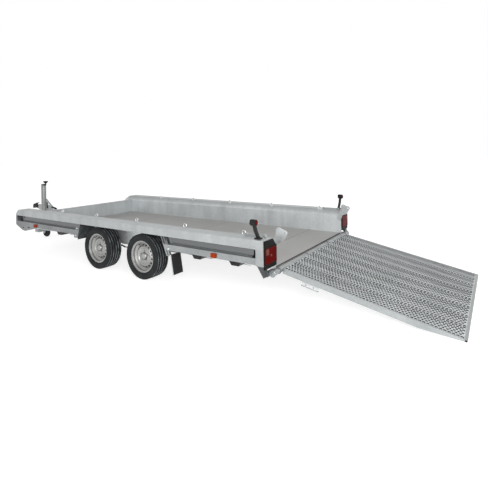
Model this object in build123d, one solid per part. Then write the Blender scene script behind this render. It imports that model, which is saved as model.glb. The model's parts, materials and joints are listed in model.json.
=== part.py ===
from build123d import *
import os
from math import atan2, cos, degrees, hypot, pi, sin

# Plant trailer with a low bed, tandem axle and full-width rear ramp, in millimetres.
# X points forward to the coupling, Y to the trailer's left, Z up.
# The part is drawn with X = 0 midway between the axles and moved at the end,
# so that the origin is under the middle of its box.

# Bed and side walls
BED_HALF_W = 920.0          # half of the width between the side walls
BED_REAR_X = -2034.0        # rear end of the side walls
WALL_FRONT_X = 2370.0       # front end of the side walls
PANEL_BACK = 210.0          # front panel's inner face behind that end
WALL_W = 230.0              # width of each side wall, over the wheels
WALL_TOP_Z = 622.0
RAIL_FACE_H = 85.0          # height of the top rail's outer face
CHAMFER_W = 65.0            # sloping strip between the top rail and the inner wall
CHAMFER_H = 71.0
FLOOR_TOP_Z = 326.0
FLOOR_T = 18.0
BOARD_JOINT_X = 1198.0      # foremost joint between the floor boards
BOARD_L = 1388.0            # spacing of those joints
SHEET_T = 4.0
RETURN_W = 56.0             # bottom return of the top rail
PANEL_TOP_Z = 560.0
PANEL_LIP_W = 46.0
PANEL_LIP_H = 26.0
PANEL_GUTTER_W = 14.0
PANEL_GUTTER_H = 34.0
NOSE_CHAMFER_L = 66.0
NOSE_CHAMFER_H = 62.0

# Lower rails before and behind the wheels
WEB_INSET = 46.0            # how far the web stands in from the outer face
FLANGE_H = 62.0             # outer face of the lower rail
LOWER_RAIL_Z = 392.0        # its bottom edge
LOWER_RAIL_LIP = 60.0
ARCH_FRONT_X = 790.0        # front end of the wheel opening
ARCH_REAR_X = -790.0        # rear end of the wheel opening
END_PLATE_RISE = 18.0       # height of the front end plate over the rail's bottom edge
WEB_HOLE_BACK = 165.0       # round hole in the web, behind the front end
WEB_HOLE_DOWN = 26.0        # and below the top rail
WEB_HOLE_R = 17.0
NOSE_STRIP_W = 40.0
# Lower outline of the nose plate: distance behind the front end, height over the rail's bottom edge
NOSE_OUTLINE = ((576.0, -9.0), (265.0, -74.0), (188.0, -67.0), (33.0, -9.0), (0.0, 18.0))
NOSE_HOLE = (211.0, -31.0, 15.0)      # distance behind the front end, height over the edge, radius
NOSE_SLOT = (365.0, -14.0, 60.0, 14.0)      # distance, height, length, width
STAY_TOP_W = 92.0           # front stay, over the rail's face
STAY_FOOT_W = 81.0
STAY_TOP_BACK = 56.0        # top of its rear edge behind the opening's front end
STAY_RAKE = 60.0            # how far its foot stands before its top
STAY_FOOT_Z = 351.0
LINER_T = 6.0
LINER_Z = 330.0
REAR_STAY_W = 20.0
REAR_STAY_T = 26.0
REAR_STAY_PITCH = 34.0
REAR_STAY_TOP = 66.0        # top before the opening's rear end
REAR_STAY_FOOT = 24.0       # foot behind it
REAR_STAY_Z = 330.0
TIE_H = 14.0
LINK_H = 30.0

# Rear corner posts
PILLAR_L = 84.0
PILLAR_Z = 384.0
# Foot's outline: distance before the bed's rear end, height
FOOT_OUTLINE = ((70.0, 384.0), (0.0, 384.0), (0.0, 282.0), (6.0, 285.0), (62.0, 373.0))
FOOT_W = 70.0
FOOT_WALL = 10.0

# Wheels
WHEEL_SPACING = 812.0
WHEEL_OUT = 130.0           # from the bed's side to the middle plane of the tyres
TYRE_R = 260.0
TYRE_W = 194.0
# Tyre's section: distance below the tread's crown, and in from the sidewall
TYRE_BULGE = (44.0, 0.0)
TYRE_FLANK = (18.0, 7.0)
TYRE_SHOULDER = (7.0, 13.0)
TREAD_EDGE = (2.0, 24.0)
RIM_FLANGE_R = 182.0
RIM_SEAT_R = 165.0
RIM_W = 156.0               # over the flanges
DISC_INSET = 46.0           # disc's face behind the outer flange
WHEEL_HOLES = 16
HOLE_R = 9.0
HOLE_CIRCLE_R = 125.0
DRUM_R = 112.0
DRUM_W = 46.0
HUB_R = 44.0
WELL_DEPTH = 22.0
# Disc's section: radius, distance behind its face
DISC_FACE = ((138.0, 3.0), (112.0, 0.0), (100.0, 12.0), (74.0, 16.0), (68.0, 2.0), (HUB_R, 0.0))
DISC_BACK = ((HUB_R, 10.0), (62.0, 12.0), (70.0, 23.0), (102.0, 20.0), (110.0, 6.0), (136.0, 8.0))
SPINDLE_R = 22.0
RUNNING_GAP = 0.4

# Axles
AXLE_TUBE_R = 44.0
ARM_L = 150.0               # from the tube's axis to the stub's axis
ARM_T = 18.0
BACKPLATE_T = 5.0
BRACKET_L = 152.0
BRACKET_IN = (90.0, 160.0)      # faces of the axle brackets, in from the bed's side
BRACKET_H = 34.0

# Floor bearers, and the black outriggers under the lower rails
BEARER_H = 42.0
BEARER_W = 110.0
BEARER_LEAN = 22.0
BEARER_TAPER_L = 150.0      # length over which each end tapers up
BEARER_TIP_H = 8.0
FRONT_BEARER_BACK = 280.0   # foremost bearer, behind the front panel
MIDDLE_BEARER_XS = (1277.0, 890.0, 150.0, -680.0)
REAR_BEARERS_FORE = (826.0, 349.0)      # rear bearers, before the bed's rear end
OUTRIGGER_TOP_W = 164.0
OUTRIGGER_BOTTOM_W = 84.0
OUTRIGGER_H = 56.0
OUTRIGGER_IN = 46.0         # its end in from the outer face
BEAM_DEPTH = 34.0           # cross beam under the bed's rear edge
BEAM_REAR = (2.0, 62.0)     # its faces, before the bed's rear end
BEAM_END = 48.0

# Drawbar, coupling and handbrake
BEAM_L = 96.0               # front cross beam along X
BEAM_BOTTOM_Z = 250.0
ARM_BOX_W = 60.0
ARM_BOX_H = 90.0
ARM_BOX_Z = 290.0
ARM_ROOT_INSET = 360.0      # arm's root, in from the bed's side
DRAWBAR_L = 1460.0          # from the panel to the arms' tip
ARM_TIP_Y = 58.0
SHAFT_Z = 440.0
SHAFT_R = 22.0
HOUSING_OVER = 150.0        # housing's front before the arms' tip
HOUSING_L = 370.0
HOUSING_HALF_W = 46.0
MOUNT_PLATE_T = 8.0
MOUNT_PLATE_Y = (148.0, 92.0)      # half widths at its rear and front
MOUNT_PLATE_OVER = (40.0, 10.0)    # behind the housing, before the arms' tip
GAITER_L = 92.0
GAITER_R = 42.0
GAITER_FOLDS = 6
BALL_OVER = 202.0           # ball before the housing
BALL_R = 25.0
CUP_WALL = 13.0
HEAD_HALF_W = 31.0
HEAD_HALF_H = 26.0
# Side outline of the coupling's handle: distance before the ball, height over the shaft
HANDLE_OUTLINE = ((14, 44), (-96, 74), (-140, 70), (-140, 62), (-98, 62), (-60, 22), (14, 30))
HANDLE_HALF_W = 14.0
# Handbrake, from its pivot: distance along X, height over the shaft
QUADRANT_OUTLINE = ((60, -10), (60, 50), (20, 156), (-20, 164), (-34, 120), (-40, 20), (-40, -10))
LEVER_OUTLINE = ((8, 158), (-210, 22), (-224, 34), (-10, 172))
PIVOT_BACK = 310.0          # pivot behind the housing's front
QUADRANT_T = 8.0
LEVER_T = 18.0
GRIP_FROM = (-200.0, 30.0)
GRIP_TO = (-345.0, 6.0)
GRIP_R = 15.0

# Jockey wheel
JOCKEY_OVER = 850.0         # sleeve before the panel
JOCKEY_SIDE = 72.838        # sleeve's axis beside the drawbar arm's
SLEEVE_R = 40.0
SLEEVE_Z = (380.0, 890.0)
CAP_H = 46.0                # height of the cap's peak
CAP_SIDE_H = 14.0
CAP_CUT = 8.0
CLAMP_L = 104.0
CLAMP_IN = 130.0
CLAMP_OUT = 52.0
CLAMP_H = 70.0
KNOB_BACK = 67.0            # knob's axis behind the sleeve's
# Knob's profile: radius, height over the sleeve's top
KNOB_OUTLINE = ((0.0, 26.0), (11.0, 26.0), (11.0, 56.0), (34.0, 78.0), (40.0, 84.0), (40.0, 96.0), (0.0, 102.0))
CRANK_R = 8.0
CRANK_H = 30.0
LEG_R = 33.0
LEG_BOTTOM_Z = 196.0
LEG_TOP_DOWN = 182.0        # leg's top below the sleeve's
JOCKEY_R = 80.0
JOCKEY_W = 56.0
JOCKEY_TRAIL = 78.0
FORK_T = 6.0
CROWN_T = 12.0
CROWN_X = (46.0, 34.0)      # crown's ends behind and before the leg's axis

# Ramp
HINGE_X = -2066.0
HINGE_Z = 302.0
HINGE_TUBE_R = 26.0
HINGE_END_IN = 102.0        # tube's end, in from the outer face
EAR_OUT = 12.0              # outer hinge ears, out from the bed's side
EAR_INNER_Y = 300.0
EAR_T = 12.0
EAR_RIM = 5.0
EAR_DROP = 30.0
RAMP_SIDE_GAP = 22.0        # between the ramp and the bed's side
RAMP_L = 1582.0             # from the hinge axis to the tip
RAMP_TIP_TOP_Z = 15.0
RAMP_BEAM_W = 42.0
RAMP_BEAM_H = 52.0
RAMP_BEAM_START = 34.0      # beams and treads start clear of the hinge tube
RAMP_RIM_W = 12.0           # rim of the side beams that shows beside the treads
RAMP_TAPER_L = 330.0
RAMP_TIP_T = 14.0
RAMP_END_BAR = 24.0
RIB_XS = (38.0, 420.0, 800.0, 1160.0)
RIB_W = 40.0
RIB_CLEAR = 6.0
LEAVES = 5
LEAF_W = 60.0
PLANKS = 8
PLANK_T = 2.5
PLANK_H = 12.0              # depth of the treads' folded edges
PLANK_GAP = 2.0
PLUG_R = 6.5
PLUG_L = 8.0
PLATE_FROM = 235.0          # blank number plate: distances from the hinge
PLATE_TO = 400.0
PLATE_H = 44.0
PLATE_T = 8.0

# Lights and fittings
LAMP_PROUD = 12.0
LAMP_FIT = 6.0              # lamp's edge inside the rail's skin
LAMP_Z = 356.0
LENS_Z = (400.0, 548.0)
LENS_T = 4.0
MARKER_X = -1945.0
MARKER_IN = 66.0            # stalk's foot, in from the outer face
# Stalk's outline: distance out from its foot, height over the rail
STALK_OUTLINE = ((-15.0, 10.0), (15.0, 10.0), (62.0, 78.0), (88.0, 148.0), (60.0, 152.0), (34.0, 84.0))
STALK_T = 26.0
MARKER_FOOT = (64.0, 48.0, 10.0)
MARKER_HEAD = (80.0, 164.0, 29.0, 56.0)      # out, height, radius, length
SIDE_LAMP_XS = (1814.0, -1465.0)
SIDE_LAMP = (60.0, 16.0, 5.0, 47.0)      # length, depth, lower and upper edge over the rail's bottom
RING_PITCH = 780.0
RING_FIRST_X = 1412.0
RINGS = 5
RING_R = 26.0
RING_ROD_R = 5.0
RING_DOWN_SLOPE = 14.0      # ring's foot, down the sloping strip from its top edge
SHOE_L = 32.0
SHOE_W = 22.0
SHOE_T = 8.0
# Lug for the raised ramp: distance before the bed's rear end, height over the rail
LUG_OUTLINE = (
    (45, -132), (45, -80), (-3, 20), (-8, 59), (-37, 88), (-101, 66), (-118, 24), (-85, -34), (-20, -60),
    (0, -132),
)
LUG_DISC = (-37.0, 59.0, 30.0)
LUG_EYE = (-101.0, 42.0, 25.0)
LUG_BORE = 9.0
LUG_T = 10.0
LATCH_BAR = (49.0, 296.0)   # ends of the sliding bar, before the bed's rear end
LATCH_BAR_R = 7.0
LATCH_BAR_IN = 2.0
GUIDE_L = 20.0
GUIDE_W = 26.0
GUIDE_H = 24.0
FLAP_X = 76.0               # flap's top, behind the opening's rear end
FLAP_T = 6.0
FLAP_RAKE = 36.0
FLAP_Z = (130.0, 346.0)
FLAP_W = 160.0

OUTER_Y = BED_HALF_W + WALL_W
RAIL_INNER_Y = BED_HALF_W + CHAMFER_W
RAIL_BOTTOM_Z = WALL_TOP_Z - RAIL_FACE_H
WHEEL_Y = BED_HALF_W + WHEEL_OUT
PANEL_X = WALL_FRONT_X - PANEL_BACK
REAR_BEARER_XS = tuple(BED_REAR_X + fore for fore in REAR_BEARERS_FORE)
BEARER_XS = (PANEL_X - FRONT_BEARER_BACK, *MIDDLE_BEARER_XS, *REAR_BEARER_XS)
OUTRIGGER_XS = (MIDDLE_BEARER_XS[0], *REAR_BEARER_XS)
ARM_ROOT_X = PANEL_X + SHEET_T + BEAM_L
ARM_ROOT_Y = BED_HALF_W - ARM_ROOT_INSET
ARM_TIP_X = PANEL_X + DRAWBAR_L
HOUSING_FRONT_X = ARM_TIP_X + HOUSING_OVER
BALL_X = HOUSING_FRONT_X + BALL_OVER
JOCKEY_X = PANEL_X + JOCKEY_OVER
ARM_SLOPE = (ARM_ROOT_Y - ARM_TIP_Y) / (ARM_TIP_X - ARM_ROOT_X)
JOCKEY_Y = ARM_ROOT_Y - (JOCKEY_X - ARM_ROOT_X) * ARM_SLOPE + JOCKEY_SIDE
RAMP_HALF_W = BED_HALF_W - RAMP_SIDE_GAP
HINGE_TUBE_HALF_L = OUTER_Y - HINGE_END_IN
TREAD_HALF_W = RAMP_HALF_W - RAMP_RIM_W
WALL_SKIN_Y = BED_HALF_W + SHEET_T
FLOOR_BOTTOM_Z = FLOOR_TOP_Z - FLOOR_T
FRONT_AXLE_X = WHEEL_SPACING / 2
REAR_AXLE_X = -WHEEL_SPACING / 2
PILLAR_FRONT_X = BED_REAR_X + PILLAR_L
RAMP_SLOPE = degrees(atan2(HINGE_Z + HINGE_TUBE_R - RAMP_TIP_TOP_Z, RAMP_L - 30.0))


def face_of(points):
    """A flat face inside a closed outline."""
    return make_face(Polyline(*points, close=True))


def prism_x(points, x0, x1):
    """A (Y, Z) outline carried along X."""
    return extrude(Plane.YZ.offset(x0) * face_of(points), x1 - x0)


def prism_y(points, y0, y1):
    """An (X, Z) outline carried along Y."""
    return extrude(Plane.XZ.offset(-y1) * face_of(points), y1 - y0)


def prism_z(points, z0, z1):
    """An (X, Y) outline carried along Z."""
    return extrude(Plane.XY.offset(z0) * face_of(points), z1 - z0)


def block(x0, x1, y0, y1, z0, z1):
    """A rectangular block between two corners."""
    return Pos((x0 + x1) / 2, (y0 + y1) / 2, (z0 + z1) / 2) * Box(x1 - x0, y1 - y0, z1 - z0)


def rod(start, end, radius):
    """A round bar between two points."""
    way = Vector(*end) - Vector(*start)
    stand = Align.CENTER, Align.CENTER, Align.MIN
    return Plane(origin=start, z_dir=way.normalized()).location * Cylinder(radius, way.length, align=stand)


def tube(start, end, radius, bore):
    """A round tube between two points."""
    return rod(start, end, radius) - rod(start, end, bore)


def folded(points, thickness):
    """Outline of a folded sheet whose one skin runs through the points, thick to the left of its way."""
    def normal(a, b):
        length = hypot(b[0] - a[0], b[1] - a[1])
        return (-(b[1] - a[1]) / length, (b[0] - a[0]) / length)

    normals = [normal(a, b) for a, b in zip(points, points[1:])]
    other = []
    for i, (x, y) in enumerate(points):
        before = normals[max(i - 1, 0)]
        after = normals[min(i, len(normals) - 1)]
        scale = thickness / (1 + before[0] * after[0] + before[1] * after[1])
        other.append((x + (before[0] + after[0]) * scale, y + (before[1] + after[1]) * scale))
    return list(points) + other[::-1]


def both_sides(left):
    """A left piece and its mirror image on the right."""
    return left, mirror(left, about=Plane.XZ)


def side_wall():
    """Left wall of the bed: inner sheet, sloping strip, flat top and outer face over the wheels."""
    skin = [
        (OUTER_Y - RETURN_W, RAIL_BOTTOM_Z),
        (OUTER_Y, RAIL_BOTTOM_Z),
        (OUTER_Y, WALL_TOP_Z),
        (RAIL_INNER_Y, WALL_TOP_Z),
        (BED_HALF_W, WALL_TOP_Z - CHAMFER_H),
        (BED_HALF_W, FLOOR_BOTTOM_Z),
    ]
    wall = prism_x(folded(skin, SHEET_T), BED_REAR_X, WALL_FRONT_X)
    corner = [
        (WALL_FRONT_X - NOSE_CHAMFER_L, WALL_TOP_Z + 1),
        (WALL_FRONT_X + 1, WALL_TOP_Z + 1),
        (WALL_FRONT_X + 1, WALL_TOP_Z - NOSE_CHAMFER_H),
    ]
    return wall - prism_y(corner, BED_HALF_W - 1, OUTER_Y + 1)


def lower_rail_section():
    """Web and outer flange of the lower rail, as a folded sheet."""
    web_y = OUTER_Y - WEB_INSET
    return folded([
        (OUTER_Y - LOWER_RAIL_LIP, LOWER_RAIL_Z),
        (OUTER_Y, LOWER_RAIL_Z),
        (OUTER_Y, LOWER_RAIL_Z + FLANGE_H),
        (web_y, LOWER_RAIL_Z + FLANGE_H),
        (web_y, RAIL_BOTTOM_Z),
    ], SHEET_T)


def nose_plate():
    """Deep plate under the nose of the left rail, with its two holes, and the strip up its front end."""
    top = LOWER_RAIL_Z + FLANGE_H
    y = OUTER_Y - SHEET_T
    outline = [(WALL_FRONT_X - back, LOWER_RAIL_Z + up) for back, up in NOSE_OUTLINE]
    outline += [(WALL_FRONT_X, top), (outline[0][0], top)]
    plate = prism_y(outline, y, OUTER_Y)
    back, up, radius = NOSE_HOLE
    hole_x = WALL_FRONT_X - back
    plate -= rod((hole_x, y - 1, LOWER_RAIL_Z + up), (hole_x, OUTER_Y + 1, LOWER_RAIL_Z + up), radius)
    back, up, length, width = NOSE_SLOT
    slot = extrude(SlotOverall(length, width), 2 * SHEET_T, both=True)
    plate -= Pos(WALL_FRONT_X - back, OUTER_Y, LOWER_RAIL_Z + up) * Rot(90, 0, 0) * slot
    return plate + block(WALL_FRONT_X - NOSE_STRIP_W, WALL_FRONT_X, y, OUTER_Y, top, RAIL_BOTTOM_Z)


def stay_x(z):
    """Rear edge of the front stay at a height."""
    return ARCH_FRONT_X - STAY_TOP_BACK + (RAIL_BOTTOM_Z - z) / (RAIL_BOTTOM_Z - STAY_FOOT_Z) * STAY_RAKE


def lower_rail_front():
    """Left lower rail before the wheels, with the nose plate and the raked stay by the wheel opening."""
    rail = prism_x(lower_rail_section(), ARCH_FRONT_X, WALL_FRONT_X - SHEET_T)
    hole_x = WALL_FRONT_X - WEB_HOLE_BACK
    hole_z = RAIL_BOTTOM_Z - WEB_HOLE_DOWN
    rail -= rod((hole_x, OUTER_Y - 2 * WEB_INSET, hole_z), (hole_x, OUTER_Y, hole_z), WEB_HOLE_R)
    end_z = LOWER_RAIL_Z + END_PLATE_RISE
    parts = rail + block(WALL_FRONT_X - SHEET_T, WALL_FRONT_X, WALL_SKIN_Y, OUTER_Y, end_z, RAIL_BOTTOM_Z)
    top_x = stay_x(RAIL_BOTTOM_Z)
    foot_x = stay_x(STAY_FOOT_Z)
    for top_w, foot_w, depth in ((STAY_TOP_W, STAY_FOOT_W, SHEET_T), (SHEET_T, SHEET_T, WEB_INSET)):
        parts += prism_y([
            (top_x, RAIL_BOTTOM_Z),
            (top_x + top_w, RAIL_BOTTOM_Z),
            (foot_x + foot_w, STAY_FOOT_Z),
            (foot_x, STAY_FOOT_Z),
        ], OUTER_Y - depth, OUTER_Y)
    return parts + nose_plate()


def lower_rail_rear():
    """Left lower rail behind the wheels, with the two slanted stays at the wheel opening."""
    rail = prism_x(lower_rail_section(), PILLAR_FRONT_X, ARCH_REAR_X)
    top_x = ARCH_REAR_X + REAR_STAY_TOP
    foot_x = ARCH_REAR_X - REAR_STAY_FOOT
    y = OUTER_Y - SHEET_T - REAR_STAY_T
    parts = rail
    for back in (0.0, REAR_STAY_PITCH):
        parts += prism_y([
            (top_x - back, RAIL_BOTTOM_Z),
            (top_x - back - REAR_STAY_W, RAIL_BOTTOM_Z),
            (foot_x - back - REAR_STAY_W, REAR_STAY_Z),
            (foot_x - back, REAR_STAY_Z),
        ], y, OUTER_Y - SHEET_T)
    end_x = foot_x - REAR_STAY_PITCH - REAR_STAY_W
    parts += block(end_x, foot_x, y, OUTER_Y, REAR_STAY_Z, REAR_STAY_Z + TIE_H)
    return parts + block(
        end_x, foot_x - REAR_STAY_W, y, OUTER_Y - SHEET_T, LOWER_RAIL_Z, LOWER_RAIL_Z + LINK_H)


def rear_pillar():
    """Left rear corner post with the tapered, hollow foot beside the ramp's hinge."""
    post = block(BED_REAR_X, PILLAR_FRONT_X, OUTER_Y - RETURN_W, OUTER_Y, PILLAR_Z, RAIL_BOTTOM_Z)
    outline = [(BED_REAR_X + ahead, z) for ahead, z in FOOT_OUTLINE]
    foot = prism_y(outline, OUTER_Y - FOOT_W, OUTER_Y)
    core = prism_y(outline, OUTER_Y - FOOT_W + FOOT_WALL, OUTER_Y - SHEET_T)
    return post + foot - Pos(SHEET_T + 2, 0, -SHEET_T) * core


def rear_beam():
    """Cross beam under the bed's rear edge, with its end plates and the ears of the ramp's hinge."""
    low = FLOOR_BOTTOM_Z - BEAM_DEPTH
    rear_x, front_x = (BED_REAR_X + ahead for ahead in BEAM_REAR)
    beam = block(rear_x, front_x, -BED_HALF_W, BED_HALF_W, low, FLOOR_BOTTOM_Z)
    for side in (-1, 1):
        y0, y1 = sorted((side * BED_HALF_W, side * (OUTER_Y - FOOT_W)))
        beam += block(rear_x, BED_REAR_X + BEAM_END, y0, y1, low, FLOOR_BOTTOM_Z)
    bore = rod((HINGE_X, -OUTER_Y, HINGE_Z), (HINGE_X, OUTER_Y, HINGE_Z), HINGE_TUBE_R + RUNNING_GAP)
    outer = BED_HALF_W + EAR_OUT
    half = EAR_T / 2
    for y in (-outer, -EAR_INNER_Y, EAR_INNER_Y, outer):
        top = FLOOR_BOTTOM_Z if abs(y) < outer else FLOOR_BOTTOM_Z + EAR_RIM
        ear = block(HINGE_X, rear_x + half, y - half, y + half, HINGE_Z - EAR_DROP, top)
        ear += rod((HINGE_X, y - half, HINGE_Z), (HINGE_X, y + half, HINGE_Z), HINGE_TUBE_R + EAR_RIM)
        beam += ear
    return beam - bore


def floor_boards():
    """Bed floor: boards laid crosswise, end to end along the bed."""
    rear_x = BED_REAR_X + FLOOR_T / 2
    joints = [BOARD_JOINT_X - i * BOARD_L for i in range(1 + int((BOARD_JOINT_X - rear_x) / BOARD_L))]
    ends = [PANEL_X] + joints + [rear_x]
    half = BED_HALF_W - RUNNING_GAP
    return [
        block(rear + RUNNING_GAP, front - RUNNING_GAP, -half, half, FLOOR_BOTTOM_Z, FLOOR_TOP_Z)
        for front, rear in zip(ends, ends[1:])
    ]


def front_panel():
    """Low front wall with a folded double lip along its top."""
    gutter_x = PANEL_X + PANEL_GUTTER_W
    skin = [
        (PANEL_X + PANEL_LIP_W, PANEL_TOP_Z - PANEL_LIP_H),
        (PANEL_X + PANEL_LIP_W, PANEL_TOP_Z),
        (gutter_x, PANEL_TOP_Z),
        (gutter_x, PANEL_TOP_Z - PANEL_GUTTER_H),
        (PANEL_X, PANEL_TOP_Z - PANEL_GUTTER_H),
        (PANEL_X, FLOOR_BOTTOM_Z),
    ]
    return prism_y(folded(skin, SHEET_T), -BED_HALF_W, BED_HALF_W)


def floor_bearers():
    """Cross bearers under the floor, each end tapering up towards the side walls."""
    top = FLOOR_BOTTOM_Z
    bottom = top - BEARER_H
    end = BED_HALF_W - SHEET_T
    full = end - BEARER_TAPER_L
    tip = top - BEARER_TIP_H
    front_view = [(-end, top), (end, top), (end, tip), (full, bottom), (-full, bottom), (-end, tip)]
    bearers = []
    for x in BEARER_XS:
        half = BEARER_W / 2
        sole = half - BEARER_LEAN
        section = [(x - half, top), (x + half, top), (x + sole, bottom), (x - sole, bottom)]
        bearers.append(prism_y(section, -end, end) & prism_x(front_view, x - half, x + half))
    return bearers


def outriggers():
    """Black tapered outriggers from the side walls to the lower rails' lips."""
    pieces = []
    for x in OUTRIGGER_XS:
        wide = OUTRIGGER_TOP_W / 2
        sole = OUTRIGGER_BOTTOM_W / 2
        outline = [
            (x - wide, LOWER_RAIL_Z),
            (x + wide, LOWER_RAIL_Z),
            (x + sole, LOWER_RAIL_Z - OUTRIGGER_H),
            (x - sole, LOWER_RAIL_Z - OUTRIGGER_H),
        ]
        pieces += both_sides(prism_y(outline, WALL_SKIN_Y, OUTER_Y - OUTRIGGER_IN))
    return pieces


def front_beam():
    """Cross beam in front of the bed that carries the drawbar."""
    return block(PANEL_X + SHEET_T, ARM_ROOT_X, -BED_HALF_W, BED_HALF_W, BEAM_BOTTOM_Z, LOWER_RAIL_Z)


def drawbar_arm():
    """Left box-section arm of the V-shaped drawbar."""
    half = ARM_BOX_W / 2 * hypot(1.0, ARM_SLOPE)
    outline = [
        (ARM_ROOT_X, ARM_ROOT_Y - half),
        (ARM_ROOT_X, ARM_ROOT_Y + half),
        (ARM_TIP_X, ARM_TIP_Y + half),
        (ARM_TIP_X, ARM_TIP_Y - half),
    ]
    return prism_z(outline, ARM_BOX_Z, ARM_BOX_Z + ARM_BOX_H)


def coupling_housing():
    """Overrun housing on a mounting plate across the drawbar's tip."""
    top = ARM_BOX_Z + ARM_BOX_H
    seat = top + MOUNT_PLATE_T
    rear_x = HOUSING_FRONT_X - HOUSING_L
    rear_y, front_y = MOUNT_PLATE_Y
    plate_rear_x = rear_x - MOUNT_PLATE_OVER[0]
    plate_front_x = ARM_TIP_X + MOUNT_PLATE_OVER[1]
    plate = prism_z([
        (plate_rear_x, -rear_y), (plate_front_x, -front_y), (plate_front_x, front_y), (plate_rear_x, rear_y),
    ], top, seat)
    body = prism_y([
        (rear_x, seat), (rear_x + 30.0, SHAFT_Z + 36.0), (HOUSING_FRONT_X - 90.0, SHAFT_Z + 42.0),
        (HOUSING_FRONT_X, SHAFT_Z + 34.0), (HOUSING_FRONT_X, SHAFT_Z - 34.0), (HOUSING_FRONT_X - 60.0, seat),
    ], -HOUSING_HALF_W, HOUSING_HALF_W)
    shaft = rod((HOUSING_FRONT_X, 0, SHAFT_Z), (HOUSING_FRONT_X + GAITER_L, 0, SHAFT_Z), SHAFT_R)
    return plate + body + shaft


def gaiter():
    """Rubber bellows round the coupling's shaft."""
    step = GAITER_L / GAITER_FOLDS
    inside = SHAFT_R + RUNNING_GAP
    root = GAITER_R - 8.0
    points = [(inside, 0.0), (root, 0.0)]
    for i in range(GAITER_FOLDS):
        points.append((GAITER_R - i, (i + 0.5) * step))
        points.append((root - i, (i + 1) * step))
    points.append((inside, GAITER_L))
    ring = revolve(face_of(points), Axis.Y, 360)
    return Pos(HOUSING_FRONT_X, 0, SHAFT_Z) * Rot(0, 0, -90) * ring


def coupling_head():
    """Cast ball coupling with its hollow nose, neck and closed handle."""
    rear_x = HOUSING_FRONT_X + GAITER_L
    wide_x = BALL_X - 20.0
    narrow = HEAD_HALF_W - 4.0
    outer = BALL_R + CUP_WALL
    neck = prism_z([
        (rear_x, -narrow), (wide_x, -HEAD_HALF_W), (wide_x, HEAD_HALF_W), (rear_x, narrow),
    ], SHAFT_Z - HEAD_HALF_H, SHAFT_Z + HEAD_HALF_H)
    crown_z = SHAFT_Z + 12.0
    mouth_z = SHAFT_Z - 34.0
    ball_z = SHAFT_Z - 4.0
    cup = rod((BALL_X, 0, mouth_z), (BALL_X, 0, crown_z), outer)
    dome = Pos(BALL_X, 0, crown_z) * Sphere(outer)
    dome -= block(BALL_X - 60, BALL_X + 60, -60, 60, SHAFT_Z - 60.0, crown_z)
    handle = [(BALL_X + ahead, SHAFT_Z + up) for ahead, up in HANDLE_OUTLINE]
    lever = prism_y(handle, -HANDLE_HALF_W, HANDLE_HALF_W)
    socket = rod((BALL_X, 0, mouth_z - 1.0), (BALL_X, 0, ball_z), BALL_R + 0.5)
    ball = Pos(BALL_X, 0, ball_z) * Sphere(BALL_R + 0.5)
    return neck + cup + dome + lever - socket - ball


def handbrake():
    """Handbrake quadrant beside the housing and its lever, with the grip at the rear."""
    pivot_x = HOUSING_FRONT_X - PIVOT_BACK
    y0 = HOUSING_HALF_W
    y1 = y0 + QUADRANT_T
    quadrant = prism_y([(pivot_x + along, SHAFT_Z + up) for along, up in QUADRANT_OUTLINE], y0, y1)
    lever = prism_y([(pivot_x + along, SHAFT_Z + up) for along, up in LEVER_OUTLINE], y1, y1 + LEVER_T)
    y = y1 + LEVER_T / 2
    start = (pivot_x + GRIP_FROM[0], y, SHAFT_Z + GRIP_FROM[1])
    grip = rod(start, (pivot_x + GRIP_TO[0], y, SHAFT_Z + GRIP_TO[1]), GRIP_R)
    return quadrant + lever, grip - lever


def jockey_sleeve():
    """Outer tube of the jockey wheel with its slanted cap, and the clamp on the left drawbar arm."""
    bore = LEG_R + RUNNING_GAP
    low, top = SLEEVE_Z
    sleeve = tube((JOCKEY_X, JOCKEY_Y, low), (JOCKEY_X, JOCKEY_Y, top), SLEEVE_R, bore)
    cap = rod((JOCKEY_X, JOCKEY_Y, top), (JOCKEY_X, JOCKEY_Y, top + CAP_H), SLEEVE_R)
    cap &= prism_y([
        (JOCKEY_X - SLEEVE_R, top), (JOCKEY_X + SLEEVE_R, top), (JOCKEY_X + SLEEVE_R, top + CAP_SIDE_H),
        (JOCKEY_X + CAP_CUT, top + CAP_H), (JOCKEY_X - SLEEVE_R, top + CAP_SIDE_H),
    ], JOCKEY_Y - SLEEVE_R, JOCKEY_Y + SLEEVE_R)
    arm_top = ARM_BOX_Z + ARM_BOX_H
    clamp_top = arm_top + CLAMP_H
    half = CLAMP_L / 2
    clamp = block(JOCKEY_X - half, JOCKEY_X + half, JOCKEY_Y - CLAMP_IN, JOCKEY_Y + CLAMP_OUT, arm_top, clamp_top)
    clamp -= rod((JOCKEY_X, JOCKEY_Y, arm_top - 1), (JOCKEY_X, JOCKEY_Y, clamp_top + 1), SLEEVE_R - 1.0)
    return sleeve + cap + clamp


def jockey_crank():
    """Winding handle beside the cap: a short arm and an upright flared knob."""
    top = SLEEVE_Z[1]
    knob_x = JOCKEY_X - KNOB_BACK
    knob = revolve(Plane.XZ * face_of([(radius, top + up) for radius, up in KNOB_OUTLINE]), Axis.Z, 360)
    arm = rod((JOCKEY_X, JOCKEY_Y, top + CRANK_H), (knob_x, JOCKEY_Y, top + CRANK_H), CRANK_R)
    return arm + Pos(knob_x, JOCKEY_Y, 0) * knob - jockey_sleeve()


def jockey_leg():
    """Inner tube that slides in the sleeve."""
    return rod((JOCKEY_X, JOCKEY_Y, LEG_BOTTOM_Z), (JOCKEY_X, JOCKEY_Y, SLEEVE_Z[1] - LEG_TOP_DOWN), LEG_R)


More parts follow.
